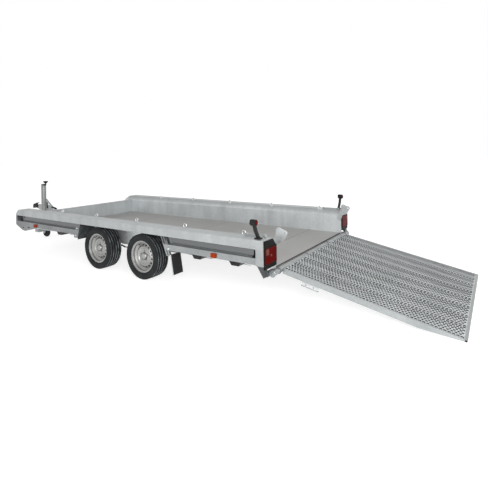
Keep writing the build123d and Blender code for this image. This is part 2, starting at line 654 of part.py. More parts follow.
def jockey_fork():
    """Swivelling fork under the leg, with the wheel's axle."""
    axle_x = JOCKEY_X - JOCKEY_TRAIL
    half = JOCKEY_W / 2 + 6.0
    crown_z = LEG_BOTTOM_Z - RUNNING_GAP
    outer = half + FORK_T
    rear_x = JOCKEY_X - CROWN_X[0]
    front_x = JOCKEY_X + CROWN_X[1]
    crown = block(rear_x, front_x, JOCKEY_Y - outer, JOCKEY_Y + outer, crown_z - CROWN_T, crown_z)
    fork = crown
    for y0 in (JOCKEY_Y - half - FORK_T, JOCKEY_Y + half):
        cheek = prism_y([
            (rear_x, crown_z), (front_x, crown_z), (axle_x + 24.0, JOCKEY_R - 14.0),
            (axle_x - 16.0, JOCKEY_R - 14.0), (axle_x - 20.0, JOCKEY_R + 12.0),
        ], y0, y0 + FORK_T)
        fork += cheek
    fork += rod((axle_x, JOCKEY_Y - half - 10.0, JOCKEY_R), (axle_x, JOCKEY_Y + half + 10.0, JOCKEY_R), 8.0)
    return fork


def jockey_wheel():
    """Solid-tyred jockey wheel with its hub."""
    half = JOCKEY_W / 2
    bore = 8.0 + RUNNING_GAP
    points = [
        (bore, -half - 4.0), (20.0, -half - 4.0), (24.0, -half + 12.0), (48.0, -half + 12.0), (54.0, -half),
        (JOCKEY_R - 12.0, -half), (JOCKEY_R, -half + 14.0), (JOCKEY_R, half - 14.0), (JOCKEY_R - 12.0, half),
        (54.0, half), (48.0, half - 12.0), (24.0, half - 12.0), (20.0, half + 4.0), (bore, half + 4.0),
    ]
    wheel = revolve(face_of(points), Axis.Y, 360)
    return Pos(JOCKEY_X - JOCKEY_TRAIL, JOCKEY_Y, JOCKEY_R) * wheel


def axle_beam(x):
    """Torsion axle tube below the floor, with its two mounting brackets."""
    z = FLOOR_BOTTOM_Z - AXLE_TUBE_R
    reach = WALL_SKIN_Y + 2.0
    beam = rod((x, -reach, z), (x, reach, z), AXLE_TUBE_R)
    for side in (-1, 1):
        y0, y1 = sorted(side * (BED_HALF_W - inset) for inset in BRACKET_IN)
        beam += block(x - BRACKET_L / 2, x + BRACKET_L / 2, y0, y1, FLOOR_BOTTOM_Z - BRACKET_H, FLOOR_BOTTOM_Z)
    return beam


def swing_arm(x):
    """Left swing arm, with the brake's backing plate and the wheel's spindle."""
    pivot_z = FLOOR_BOTTOM_Z - AXLE_TUBE_R
    y0 = WALL_SKIN_Y + 2.0
    y1 = y0 + ARM_T
    arm = prism_y([
        (x + ARM_L + 34.0, pivot_z - 30.0), (x + ARM_L + 34.0, pivot_z + 30.0),
        (x - 20.0, TYRE_R + 28.0), (x - 34.0, TYRE_R), (x - 20.0, TYRE_R - 28.0),
    ], y0, y1)
    plate = rod((x, y1, TYRE_R), (x, y1 + BACKPLATE_T, TYRE_R), DRUM_R + 8.0)
    spindle = rod((x, y1, TYRE_R), (x, WHEEL_Y + 10.0, TYRE_R), SPINDLE_R)
    return arm + plate + spindle


def rim(x):
    """Left steel rim with its stepped disc, ring of holes, drum and hub cap."""
    half = RIM_W / 2
    seat = RIM_SEAT_R
    flange = RIM_FLANGE_R
    t = SHEET_T
    well = seat - WELL_DEPTH
    barrel = [
        (flange, -half), (flange, -half + t), (seat, -half + 6.0 + t), (seat, -30.0), (well, -14.0), (well, 24.0),
        (seat, 40.0), (seat, half - 6.0 - t), (flange, half - t), (flange, half), (seat - t, half - 2.0),
        (seat - t, 42.0), (well - t, 26.0), (well - t, -16.0), (seat - t, -32.0), (seat - t, -half + 2.0),
    ]
    face_y = half - DISC_INSET
    drum_back = WALL_SKIN_Y + 2.0 + ARM_T + BACKPLATE_T + 6.0 - WHEEL_Y
    disc = [(well - 1.0, face_y - 22.0), (well - 1.0, face_y - 16.0)]
    disc += [(radius, face_y - down) for radius, down in DISC_FACE]
    disc += [(radius, face_y - down) for radius, down in DISC_BACK]
    bore = SPINDLE_R + RUNNING_GAP
    cap_r = HUB_R - 8.0
    cap_y = face_y + 26.0
    hub = [
        (bore, drum_back), (DRUM_R, drum_back), (DRUM_R, drum_back + DRUM_W), (78.0, drum_back + DRUM_W + 10.0),
        (70.0, face_y - 12.0), (cap_r, face_y - 4.0), (cap_r, face_y + 10.0), (26.0, cap_y), (0.0, cap_y),
        (0.0, face_y + 6.0), (bore, face_y + 6.0),
    ]
    holes = []
    for i in range(WHEEL_HOLES):
        turn = 2 * pi * (i + 0.5) / WHEEL_HOLES
        at = (HOLE_CIRCLE_R * cos(turn), face_y - 60.0, HOLE_CIRCLE_R * sin(turn))
        holes.append(rod(at, (at[0], face_y + 30.0, at[2]), HOLE_R))
    section = face_of(barrel) + face_of(disc) + face_of(hub)
    wheel = revolve(section, Axis.Y, 360) - holes
    return Pos(x, WHEEL_Y, TYRE_R) * wheel


def tyre(x):
    """Left tyre: bead, bulging sidewall, rounded shoulder and slightly crowned tread."""
    half = TYRE_W / 2
    bead_y = RIM_W / 2 - SHEET_T - 8.0
    bead_r = RIM_SEAT_R + RUNNING_GAP
    lip_r = RIM_FLANGE_R + 3.0
    bulge, flank, shoulder, edge = (
        (TYRE_R - down, half - inside) for down, inside in (TYRE_BULGE, TYRE_FLANK, TYRE_SHOULDER, TREAD_EDGE)
    )
    heel = (lip_r + 3.0, half - 13.0)

    def other(point):
        return (point[0], -point[1])

    outline = Polyline((bead_r, bead_y), (lip_r, bead_y), heel)
    outline += ThreePointArc(heel, bulge, flank)
    outline += ThreePointArc(flank, shoulder, edge)
    outline += ThreePointArc(edge, (TYRE_R, 0.0), other(edge))
    outline += ThreePointArc(other(edge), other(shoulder), other(flank))
    outline += ThreePointArc(other(flank), other(bulge), other(heel))
    outline += Polyline(other(heel), (lip_r, -bead_y), (bead_r, -bead_y), (bead_r, bead_y))
    return Pos(x, WHEEL_Y, TYRE_R) * revolve(make_face(outline), Axis.Y, 360)


def arch_liner():
    """Black liner panel behind the front stay, parallel to it."""
    top = RAIL_BOTTOM_Z - 1.0
    top_x = stay_x(top)
    foot_x = stay_x(LINER_Z)
    outline = [(top_x, top), (top_x - LINER_T, top), (foot_x - LINER_T, LINER_Z), (foot_x, LINER_Z)]
    return prism_y(outline, WALL_SKIN_Y, OUTER_Y - SHEET_T - 1.0)


def mudflap():
    """Left rubber flap behind the rear wheel, hung on the slanted stays."""
    x = ARCH_REAR_X - FLAP_X
    low, top = FLAP_Z
    outline = [(x, top), (x - FLAP_T, top), (x - FLAP_T - FLAP_RAKE, low), (x - FLAP_RAKE, low)]
    flap = prism_y(outline, OUTER_Y - FLAP_W, OUTER_Y)
    foot_x = ARCH_REAR_X - REAR_STAY_FOOT - REAR_STAY_PITCH - REAR_STAY_W
    bar = block(x - FLAP_T, foot_x, OUTER_Y - FLAP_W, OUTER_Y, top - TIE_H, top)
    return flap + bar - lower_rail_rear()


def lamp():
    """Left rear lamp body that fills the wall's open end, and its red lens."""
    inner = BED_HALF_W + LAMP_FIT
    outer = OUTER_Y - LAMP_FIT
    top = WALL_TOP_Z - LAMP_FIT
    slope_z = WALL_TOP_Z - CHAMFER_H - 2.0
    outline = [(inner, LAMP_Z), (outer, LAMP_Z), (outer, top), (RAIL_INNER_Y + 2.0, top), (inner, slope_z)]
    rear_x = BED_REAR_X - LAMP_PROUD
    body = prism_x(outline, rear_x, BED_REAR_X - RUNNING_GAP)
    lens = block(rear_x - LENS_T, rear_x, inner, outer, *LENS_Z)
    return body, lens


def marker_lamp():
    """Left marker lamp on its bent rubber stalk, on top of the rail."""
    x = MARKER_X
    y = OUTER_Y - MARKER_IN
    length, width, height = MARKER_FOOT
    foot = block(x - length / 2, x + length / 2, y - width / 2, y + width / 2, WALL_TOP_Z, WALL_TOP_Z + height)
    stalk = prism_x([(y + out, WALL_TOP_Z + up) for out, up in STALK_OUTLINE], x - STALK_T / 2, x + STALK_T / 2)
    out, up, radius, length = MARKER_HEAD
    head = rod((x - length / 2, y + out, WALL_TOP_Z + up), (x + length / 2, y + out, WALL_TOP_Z + up), radius)
    return foot + stalk + head


def side_lamps():
    """Amber lamps on the lower rails."""
    length, depth, low, high = SIDE_LAMP
    lamps = []
    for x in SIDE_LAMP_XS:
        rear_x = x - length / 2
        body = block(rear_x, rear_x + length, OUTER_Y, OUTER_Y + depth, LOWER_RAIL_Z + low, LOWER_RAIL_Z + high)
        lamps += both_sides(body)
    return lamps


def lashing_rings():
    """Lashing rings that stand in shoes on the sloping strips of both walls."""
    slope = hypot(CHAMFER_W, CHAMFER_H)
    along = (-CHAMFER_W / slope, -CHAMFER_H / slope)
    out = (-CHAMFER_H / slope, CHAMFER_W / slope)

    def on_strip(down, proud):
        return (RAIL_INNER_Y + along[0] * down + out[0] * proud, WALL_TOP_Z + along[1] * down + out[1] * proud)

    high = RING_DOWN_SLOPE - SHOE_W / 2
    low = RING_DOWN_SLOPE + SHOE_W / 2
    foot = [on_strip(high, 0.0), on_strip(low, 0.0), on_strip(low, SHOE_T), on_strip(high, SHOE_T)]
    y, z = on_strip(RING_DOWN_SLOPE, RING_ROD_R + RUNNING_GAP)
    rings = []
    for i in range(RINGS):
        x = RING_FIRST_X - i * RING_PITCH
        ring = Pos(x, y, z + RING_R - RING_ROD_R) * Rot(90, 0, 0) * Torus(RING_R - RING_ROD_R, RING_ROD_R)
        rings += both_sides(ring + prism_x(foot, x - SHOE_L / 2, x + SHOE_L / 2))
    return rings


def ramp_latch():
    """Left latch of the raised ramp: a lug with an eye on the wall's end, and a sliding bar on the rail."""
    y0 = BED_HALF_W - LUG_T
    lug = prism_y([(BED_REAR_X + ahead, WALL_TOP_Z + up) for ahead, up in LUG_OUTLINE], y0, BED_HALF_W)
    for ahead, up, radius in (LUG_DISC, LUG_EYE):
        x = BED_REAR_X + ahead
        lug += rod((x, y0, WALL_TOP_Z + up), (x, BED_HALF_W, WALL_TOP_Z + up), radius)
    eye_x = BED_REAR_X + LUG_EYE[0]
    eye_z = WALL_TOP_Z + LUG_EYE[1]
    lug -= rod((eye_x, y0 - 1, eye_z), (eye_x, BED_HALF_W + 1, eye_z), LUG_BORE)
    near, far = (BED_REAR_X + ahead for ahead in LATCH_BAR)
    y = RAIL_INNER_Y + GUIDE_W / 2 + LATCH_BAR_IN
    z = WALL_TOP_Z + GUIDE_H / 2
    bar = rod((near, y, z), (far, y, z), LATCH_BAR_R)
    for x in (near + GUIDE_L / 2, far - 3 * GUIDE_L / 2):
        bar += block(x, x + GUIDE_L, y - GUIDE_W / 2, y + GUIDE_W / 2, WALL_TOP_Z, WALL_TOP_Z + GUIDE_H)
    return lug, bar


def on_ramp(shape):
    """Turns a piece from the level ramp frame, whose hinge is the origin, to the lowered ramp."""
    return Pos(HINGE_X, 0, HINGE_Z) * Rot(0, -RAMP_SLOPE, 0) * shape


def ramp_frame():
    """Ramp frame: two stepped side beams that thin out to the tip, cross ribs, end bar and hinge leaves."""
    top = HINGE_TUBE_R
    ledge = top - PLANK_H
    end = -RAMP_L
    start = -RAMP_BEAM_START
    sole = top - RAMP_BEAM_H
    beam = [(start, top), (end, top), (end, top - RAMP_TIP_T), (end + RAMP_TAPER_L, sole), (start, sole)]
    inner = RAMP_HALF_W - RAMP_BEAM_W
    rim = prism_y(beam, TREAD_HALF_W, RAMP_HALF_W)
    step = prism_y(beam, inner, TREAD_HALF_W)
    step -= block(end + RAMP_END_BAR, start, inner, TREAD_HALF_W, ledge, top + 1)
    left, right = both_sides(rim + step)
    frame = left + right
    for u in RIB_XS:
        frame += block(-u - RIB_W, -u, -inner, inner, sole + RIB_CLEAR, ledge)
    frame += block(end, end + RAMP_END_BAR, -inner, inner, top - RAMP_TIP_T, top)
    for i in range(LEAVES):
        y = (i - (LEAVES - 1) / 2) * 2 * RAMP_HALF_W / LEAVES
        frame += block(-RIB_XS[0] - RUNNING_GAP, 0.0, y - LEAF_W / 2, y + LEAF_W / 2, ledge - PLANK_T, top)
    return frame - rod((0, -RAMP_HALF_W, 0), (0, RAMP_HALF_W, 0), HINGE_TUBE_R + RUNNING_GAP)


def ramp_planks():
    """Treads of the ramp: folded channels side by side along its length."""
    pitch = 2 * TREAD_HALF_W / PLANKS
    top = HINGE_TUBE_R
    planks = []
    for i in range(PLANKS):
        y0 = -TREAD_HALF_W + i * pitch + PLANK_GAP / 2
        y1 = y0 + pitch - PLANK_GAP
        skin = [(y1, top - PLANK_H), (y1, top), (y0, top), (y0, top - PLANK_H)]
        section = folded(skin, PLANK_T)
        planks.append(prism_x(section, -RAMP_L + RAMP_END_BAR + RUNNING_GAP, -RIB_XS[0] - RUNNING_GAP))
    return planks


def ramp_tube():
    """Hinge tube that turns in the brackets."""
    return rod((0, -HINGE_TUBE_HALF_L, 0), (0, HINGE_TUBE_HALF_L, 0), HINGE_TUBE_R)


def ramp_end_caps():
    """Black plugs at the two ends of the ramp's end bar."""
    x = -RAMP_L + RAMP_END_BAR / 2
    z = HINGE_TUBE_R - RAMP_TIP_T / 2
    return list(both_sides(rod((x, RAMP_HALF_W, z), (x, RAMP_HALF_W + PLUG_L, z), PLUG_R)))


def number_plate():
    """Blank number plate that hangs below the ramp's left beam."""
    low = HINGE_TUBE_R - RAMP_BEAM_H
    outer = RAMP_HALF_W - RAMP_RIM_W
    return block(-PLATE_TO, -PLATE_FROM, outer - PLATE_T, outer, low - PLATE_H, low)


def chassis():
    """Every piece of the rigid chassis, by node name."""
    pieces = {}
    for name, left in (
        ("side_wall", side_wall()),
        ("lower_rail_front", lower_rail_front()),
        ("lower_rail_rear", lower_rail_rear()),
        ("rear_pillar", rear_pillar()),
        ("drawbar_arm", drawbar_arm()),
        ("rear_lamp", lamp()[0]),
        ("rear_lens", lamp()[1]),
        ("marker_lamp", marker_lamp()),
    ):
        pieces[name + "_left"], pieces[name + "_right"] = both_sides(left)
    for name, left in (("arch_liners", arch_liner()), ("mudflaps", mudflap())):
        pieces[name] = list(both_sides(left))
    latches = [both_sides(piece) for piece in ramp_latch()]
    pieces["ramp_latch_left"] = [left for left, _ in latches]
    pieces["ramp_latch_right"] = [right for _, right in latches]
    for name, x in (("front", FRONT_AXLE_X), ("rear", REAR_AXLE_X)):
        pieces["axle_" + name] = axle_beam(x + ARM_L)
        pieces["swing_arms_" + name] = list(both_sides(swing_arm(x)))
    pieces["front_panel"] = front_panel()
    pieces["floor_boards"] = floor_boards()
    pieces["floor_bearers"] = floor_bearers()
    pieces["outriggers"] = outriggers()
    pieces["front_beam"] = front_beam()
    pieces["rear_beam"] = rear_beam()
    pieces["coupling_housing"] = coupling_housing()
    pieces["gaiter"] = gaiter()
    pieces["coupling_head"] = coupling_head()
    pieces["handbrake_lever"], pieces["handbrake_grip"] = handbrake()
    pieces["jockey_sleeve"] = jockey_sleeve()
    pieces["jockey_crank"] = jockey_crank()
    pieces["side_lamps"] = side_lamps()
    pieces["lashing_rings"] = lashing_rings()
    return pieces


def moving():
    """Every piece of the moving bodies, by node name."""
    pieces = {
        "jockey_leg": jockey_leg(),
        "jockey_fork": jockey_fork(),
        "jockey_wheel": jockey_wheel(),
        "ramp_frame": on_ramp(ramp_frame()),
        "ramp_tube": on_ramp(ramp_tube()),
        "ramp_planks": [on_ramp(p) for p in ramp_planks()],
        "ramp_end_caps": [on_ramp(p) for p in ramp_end_caps()],
        "number_plate": on_ramp(number_plate()),
    }
    for name, x in (("front", FRONT_AXLE_X), ("rear", REAR_AXLE_X)):
        pieces["rim_" + name + "_left"], pieces["rim_" + name + "_right"] = both_sides(rim(x))
        pieces["tyre_" + name + "_left"], pieces["tyre_" + name + "_right"] = both_sides(tyre(x))
    return pieces


def solids_of(piece):
    """The solids of a piece or of a list of pieces."""
    pieces = piece if isinstance(piece, list) else [piece]
    return [solid for one in pieces for solid in one.solids()]


def main():
    os.makedirs("parts", exist_ok=True)
    nodes = {name: solids_of(piece) for name, piece in {**chassis(), **moving()}.items()}
    boxes = [solid.bounding_box() for solids in nodes.values() for solid in solids]
    shift = -(min(b.min.X for b in boxes) + max(b.max.X for b in boxes)) / 2
    print("shift along X", round(shift, 3))
    for name, solids in nodes.items():
        placed = [solid.moved(Location((shift, 0, 0))) for solid in solids]
        export_step(placed[0] if len(placed) == 1 else Compound(placed), f"parts/{name}.step")
    for label, x, z in (
        ("front axle", FRONT_AXLE_X, TYRE_R), ("rear axle", REAR_AXLE_X, TYRE_R), ("hinge", HINGE_X, HINGE_Z),
        ("ball", BALL_X, SHAFT_Z - 4.0), ("jockey", JOCKEY_X, JOCKEY_R), ("bed rear", BED_REAR_X, FLOOR_TOP_Z),
    ):
        print(label, round(x + shift, 3), z)


main()
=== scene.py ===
import json
from math import atan2, cos, pi, radians, sin

import bmesh
import bpy
from mathutils import Matrix, Vector


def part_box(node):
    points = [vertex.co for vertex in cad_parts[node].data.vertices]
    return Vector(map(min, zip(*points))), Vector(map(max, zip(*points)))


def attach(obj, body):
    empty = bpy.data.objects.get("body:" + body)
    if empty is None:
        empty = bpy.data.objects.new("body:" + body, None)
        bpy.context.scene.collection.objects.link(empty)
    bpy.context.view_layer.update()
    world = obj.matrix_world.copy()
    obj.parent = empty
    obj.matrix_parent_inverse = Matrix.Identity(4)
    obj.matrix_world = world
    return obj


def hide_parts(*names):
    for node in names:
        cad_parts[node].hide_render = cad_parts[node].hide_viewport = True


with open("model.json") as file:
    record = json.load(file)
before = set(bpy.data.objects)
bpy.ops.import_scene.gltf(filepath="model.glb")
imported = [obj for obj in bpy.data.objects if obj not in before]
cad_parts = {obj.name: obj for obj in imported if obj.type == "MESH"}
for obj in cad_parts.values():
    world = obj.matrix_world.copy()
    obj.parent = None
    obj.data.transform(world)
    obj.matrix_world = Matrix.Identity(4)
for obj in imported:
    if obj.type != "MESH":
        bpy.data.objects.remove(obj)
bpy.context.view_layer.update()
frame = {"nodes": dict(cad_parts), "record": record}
NODES = frame["nodes"]

# Plant trailer with a lowered ramp. Every length below is in millimetres of the drawn frame:
# X forward from midway between the axles, Y to the trailer's left, Z up from the ground.
MM = 0.001
WHEEL_SPACING = 812.0
WHEEL_Y = 1050.0
TYRE_R = 260.0
TYRE_W = 194.0
BED_HALF_W = 920.0
BED_REAR_X = -2034.0
PANEL_X = 2160.0
OUTER_Y = 1150.0
FLOOR_TOP_Z = 326.0
HINGE_X = -2066.0
HINGE_Z = 302.0
RAMP_TOP_H = 26.0           # walking surface above the hinge axis, square to the ramp
RAMP_L = 1582.0
RAMP_INNER_HALF_W = 886.0
RAMP_TIP_TOP_Z = 15.0
RAMP_RUN_LOSS = 30.0        # how much shorter the lowered ramp is along the ground than in itself
RAMP_END_BAR = 24.0
RAMP_START = 34.0
SHAFT_Z = 440.0
WASHER_T = 2.0
WASHER_OVER = 1.25          # a washer's radius over its bolt head's
SIDES = (("left", 1), ("right", -1))

front_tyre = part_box("tyre_front_left")
SHIFT = (front_tyre[0].x + front_tyre[1].x) / 2 - WHEEL_SPACING / 2 * MM
RAMP_SLOPE = atan2(HINGE_Z + RAMP_TOP_H - RAMP_TIP_TOP_Z, RAMP_L - RAMP_RUN_LOSS)

# Painted highlights in zigzag lines along the treads' ribs, which the tyres' shader draws
ZIGZAG = 18.0               # half a wave along the tread
ZIGZAG_DEPTH = 0.22         # how far a line swings for its length
RIB_PITCH = 35.0            # from one line to the next
HIGHLIGHT_HALF_W = (6.65, 3.85)  # half width of a line with its soft edge, and without
HIGHLIGHT_DEPTH = (8.0, 5.0)     # the painted highlight lines come in between these depths under the tread's crown

# Zones of painted light (the walls' inner sheets) and painted shade (the rails' webs, the posts' feet, the
# latches' outer lugs) on the zinc: axis, where the tone starts and where it is full, and its colour.
# The places are in metres, along Y from the middle.
PAINTED_LIGHT_WALL = ("Y", 0.99, 0.925, (0.73, 0.76, 0.77))
SHADED_WEB = ("Z", 0.4545, 0.4585, (0.15, 0.157, 0.16))
SHADED_FOOT = ("Z", 0.386, 0.382, (0.075, 0.08, 0.082))
SHADED_LUG = ("Y", 0.94, 0.96, (0.45, 0.47, 0.475))
FRONT_SHADE_SPAN = (-2.0, 2.1)     # ends of the painted shade that darkens the walls and rails towards the front, along X, in metres
HANGING_RUNS = (9.0, 9.0, 0.7)      # run marks drawn out along Z


def to_frame(point):
    """A drawn point in millimetres, as a place in the frame in metres."""
    return Vector((point[0] * MM + SHIFT, point[1] * MM, point[2] * MM))


def on_ramp(point):
    """Turns (distance from the hinge, Y, height over the hinge) into a drawn point on the lowered ramp."""
    away, y, height = point
    return (
        HINGE_X - away * cos(RAMP_SLOPE) - height * sin(RAMP_SLOPE),
        y,
        HINGE_Z - away * sin(RAMP_SLOPE) + height * cos(RAMP_SLOPE),
    )


def about(centre, radius, turn, out=0.0):
    """The point at a radius and a turn round the Y axis through centre, and out along Y."""
    return (centre[0] + radius * cos(turn), centre[1] + out, centre[2] + radius * sin(turn))


def wheel_place(end, mirror, out=0.0):
    """The point on one wheel's axis, out from the wheel's middle plane."""
    x = WHEEL_SPACING / 2 * (1 if end == "front" else -1)
    return (x, mirror * (WHEEL_Y + out), TYRE_R)


def span(mirror, near, far):
    """Two distances from the middle as low and high Y on one side."""
    return sorted((mirror * near, mirror * far))


class Shader:
    """A material with its node tree, built by short calls."""

    def __init__(self, name, **sockets):
        self.material = bpy.data.materials.new(name)
        self.material.use_nodes = True
        self.tree = self.material.node_tree
        self.surface = self.tree.nodes["Principled BSDF"]
        for socket, value in sockets.items():
            self.surface.inputs[socket.replace("_", " ")].default_value = value
        self.place = self.add("ShaderNodeTexCoord").outputs["Object"]

    def add(self, kind, links=(), **values):
        """Adds a node; values set its sockets or properties, links are (socket, output) pairs."""
        node = self.tree.nodes.new(kind)
        for name, value in values.items():
            socket = node.inputs.get(name.replace("_", " "))
            if socket is not None:
                socket.default_value = value
            else:
                setattr(node, name, value)
        for socket, output in links:
            self.tree.links.new(output, node.inputs[socket])
        return node

    def feed(self, socket, output):
        """Links an output to the surface."""
        self.tree.links.new(output, self.surface.inputs[socket])

    def axes(self):
        """Outputs X, Y and Z of the object coordinates, in metres."""
        return self.add("ShaderNodeSeparateXYZ", [("Vector", self.place)]).outputs

    def stretched(self, x, y, z):
        """Object coordinates stretched along some axes."""
        return self.add("ShaderNodeMapping", [("Vector", self.place)], Scale=(x, y, z)).outputs["Vector"]

    def noise(self, scale, detail, place=None):
        """Soft clouds, or runs where the place is stretched."""
        links = [("Vector", place or self.place)]
        cloud = self.add("ShaderNodeTexNoise", links, Scale=scale, Detail=detail, Roughness=0.55)
        return cloud.outputs["Fac"]

    def cells(self, scale):
        """One grey for each crystal of a Voronoi pattern."""
        cell = self.add("ShaderNodeTexVoronoi", [("Vector", self.place)], Scale=scale)
        return self.add("ShaderNodeSeparateColor", [("Color", cell.outputs["Color"])]).outputs["Red"]

    def maths(self, operation, first, second=0.0):
        """One arithmetic step on an output; second is a number or another output."""
        node = self.add("ShaderNodeMath", [(0, first)], operation=operation)
        if isinstance(second, bpy.types.NodeSocket):
            self.tree.links.new(second, node.inputs[1])
        else:
            node.inputs[1].default_value = second
        return node.outputs[0]

    def total(self, *terms):
        """Weighted sum of outputs, given as (output, weight) pairs."""
        result = None
        for output, weight in terms:
            node = self.add("ShaderNodeMath", [(0, output)], operation="MULTIPLY_ADD")
            node.inputs[1].default_value = weight
            node.inputs[2].default_value = 0.0
            if result is not None:
                self.tree.links.new(result, node.inputs[2])
            result = node.outputs[0]
        return result

    def ramp(self, output, *stops):
        """Colours along a value; each stop is (position, (r, g, b))."""
        node = self.add("ShaderNodeValToRGB", [("Fac", output)])
        elements = node.color_ramp.elements
        while len(elements) < len(stops):
            elements.new(0.5)
        for element, (position, colour) in zip(elements, stops):
            element.position = position
            element.color = (*colour, 1.0)
        return node.outputs["Color"]

    def rise(self, output, start, end):
        """0 before start and 1 past end."""
        node = self.add("ShaderNodeMapRange", [("Value", output)], From_Min=start, From_Max=end)
        return node.outputs["Result"]

    def spread(self, output, low, high):
        """Maps 0..1 to low..high."""
        node = self.add("ShaderNodeMapRange", [("Value", output)], To_Min=low, To_Max=high)
        return node.outputs["Result"]

    def along(self, axis, start, end):
        """0 before start and 1 past end along an axis, in metres; Y counts from the middle both ways."""
        place = self.axes()[axis]
        if axis == "Y":
            place = self.maths("ABSOLUTE", place)
        return self.rise(place, start, end)

    def bump(self, output, distance, strength, under=None):
        """Raises the skin by an output, over the relief of another bump."""
        links = [("Height", output)]
        if under is not None:
            links.append(("Normal", under))
        return self.add("ShaderNodeBump", links, Strength=strength, Distance=distance).outputs["Normal"]

    def tread_mask(self):
        """1 on the zigzag lines of painted highlight round the crowns of the treads, 0 elsewhere on the
        wheels.
        """
        axes = self.axes()
        from_middle = self.maths("ABSOLUTE", self.maths("SUBTRACT", axes["X"], SHIFT))
        ahead = self.maths("SUBTRACT", from_middle, WHEEL_SPACING / 2 * MM)
        height = self.maths("SUBTRACT", axes["Z"], TYRE_R * MM)
        flat = self.add("ShaderNodeCombineXYZ", [("X", ahead), ("Z", height)]).outputs["Vector"]
        radius = self.add("ShaderNodeVectorMath", [(0, flat)], operation="LENGTH").outputs["Value"]
        round_wheel = self.maths("MULTIPLY", self.maths("ARCTAN2", height, ahead), TYRE_R * MM)
        swing = self.maths("MULTIPLY", self.maths("PINGPONG", round_wheel, ZIGZAG * MM), ZIGZAG_DEPTH)
        across = self.maths("SUBTRACT", self.maths("ABSOLUTE", axes["Y"]), WHEEL_Y * MM)
        line = self.maths("PINGPONG", self.maths("ADD", swing, across), RIB_PITCH / 2 * MM)
        crown = self.rise(radius, *((TYRE_R - depth) * MM for depth in HIGHLIGHT_DEPTH))
        worn = self.rise(line, *(half_w * MM for half_w in HIGHLIGHT_HALF_W))
        return self.maths("MULTIPLY", crown, worn)


def galvanised(
    name, dark, light, streaks=(3.0, 3.0, 3.0), rough=(0.34, 0.52), wave=0.0015,
    shade=None, clean=None, fade=0.0,
):
    """Hot-dip zinc: fine crystals, clouds and run marks; one zone may get painted shade, one zone painted
    light, and the tone may darken towards the front as painted shade.
    """
    steel = Shader(name, Metallic=0.8)
    crystals = steel.cells(95.0)
    clouds = steel.noise(2.2, 5.0)
    runs = steel.noise(1.0, 4.0, steel.stretched(*streaks))
    grain = steel.noise(160.0, 2.0)
    terms = [(crystals, 0.10), (clouds, 0.48), (runs, 0.34), (grain, 0.08)]
    stops = [(0.30, dark), (0.72, light)]
    if shade:
        axis, start, end, deep = shade
        terms.append((steel.along(axis, start, end), -0.42))
        stops.insert(0, (0.10, deep))
    if fade:
        terms.append((steel.along("X", *FRONT_SHADE_SPAN), -fade))
    if clean:
        axis, start, end, bright = clean
        terms.append((steel.along(axis, start, end), 0.42))
        stops.append((0.96, bright))
    tone = steel.total(*terms)
    steel.feed("Base Color", steel.ramp(tone, *stops))
    steel.feed("Roughness", steel.spread(steel.total((clouds, 0.5), (crystals, 0.5)), *rough))
    sheet = steel.bump(steel.noise(3.4, 2.0), wave, 0.6)
    steel.feed("Normal", steel.bump(steel.total((grain, 0.6), (crystals, 0.4)), 0.0002, 0.25, sheet))
    return steel.material


def sealed_board(name, dark, light):
    """Smooth sealed board, warm grey, with faint wheel dust."""
    board = Shader(name, Specular_IOR_Level=0.45)
    dust = board.noise(1.6, 6.0)
    fibre = board.noise(1.0, 5.0, board.stretched(4.0, 90.0, 4.0))
    tone = board.total((dust, 0.65), (fibre, 0.35))
    board.feed("Base Color", board.ramp(tone, (0.32, dark), (0.68, light)))
    board.feed("Roughness", board.spread(dust, 0.32, 0.5))
    board.feed("Normal", board.bump(fibre, 0.0003, 0.3))
    return board.material


def flake_paint(name, dark, light):
    """Silver paint with metal flakes and dust."""
    paint = Shader(name, Metallic=0.75)
    flakes = paint.cells(900.0)
    dust = paint.noise(14.0, 4.0)
    tone = paint.total((flakes, 0.25), (dust, 0.75))
    paint.feed("Base Color", paint.ramp(tone, (0.25, dark), (0.75, light)))
    paint.feed("Roughness", paint.spread(dust, 0.3, 0.44))
    paint.feed("Normal", paint.bump(flakes, 0.0001, 0.15))
    return paint.material


def rubber(name, dark, light, rough, worn=None):
    """Dusty rubber; the optional lighter colour is painted highlight on lines along the tread's ribs."""
    soft = Shader(name, Specular_IOR_Level=0.2)
    dust = soft.noise(9.0, 6.0)
    grain = soft.noise(420.0, 2.0)
    tone, stops = dust, [(0.3, dark), (0.75, light)]
    if worn:
        tone = soft.total((dust, 0.8), (soft.tread_mask(), 0.45))
        stops.append((0.92, worn))
    soft.feed("Base Color", soft.ramp(tone, *stops))
    soft.feed("Roughness", soft.spread(dust, *rough))
    soft.feed("Normal", soft.bump(grain, 0.0004, 0.35))
    return soft.material


def moulded(name, dark, light, rough, shine=0.2):
    """Moulded plastic or paint with a fine orange-peel skin."""
    skin = Shader(name, Specular_IOR_Level=shine)
    patch = skin.noise(12.0, 4.0)
    peel = skin.noise(260.0, 1.0)
    skin.feed("Base Color", skin.ramp(patch, (0.3, dark), (0.7, light)))
    skin.feed("Roughness", skin.spread(patch, *rough))
    skin.feed("Normal", skin.bump(peel, 0.0002, 0.25))
    return skin.material


def lens(name, deep, bright, pitch):
    """Coloured lamp plastic with moulded flutes behind a glossy face."""
    cover = Shader(name, Roughness=0.3, Specular_IOR_Level=0.03)
    wave = cover.add("ShaderNodeTexWave", [("Vector", cover.place)], Scale=pitch, bands_direction="Y")
    check = cover.add("ShaderNodeTexWave", [("Vector", cover.place)], Scale=pitch, bands_direction="Z")
    flutes = cover.total((wave.outputs["Fac"], 0.5), (check.outputs["Fac"], 0.5))
    cover.feed("Base Color", cover.ramp(flutes, (0.2, deep), (0.9, bright)))
    cover.feed("Normal", cover.bump(flutes, 0.0008, 0.4))
    return cover.material


MATERIALS = {}


def finish(kind, name, *tones, **traits):
    """Makes a material of one kind and keeps it under its name."""
    MATERIALS[name] = kind(name, *tones, **traits)


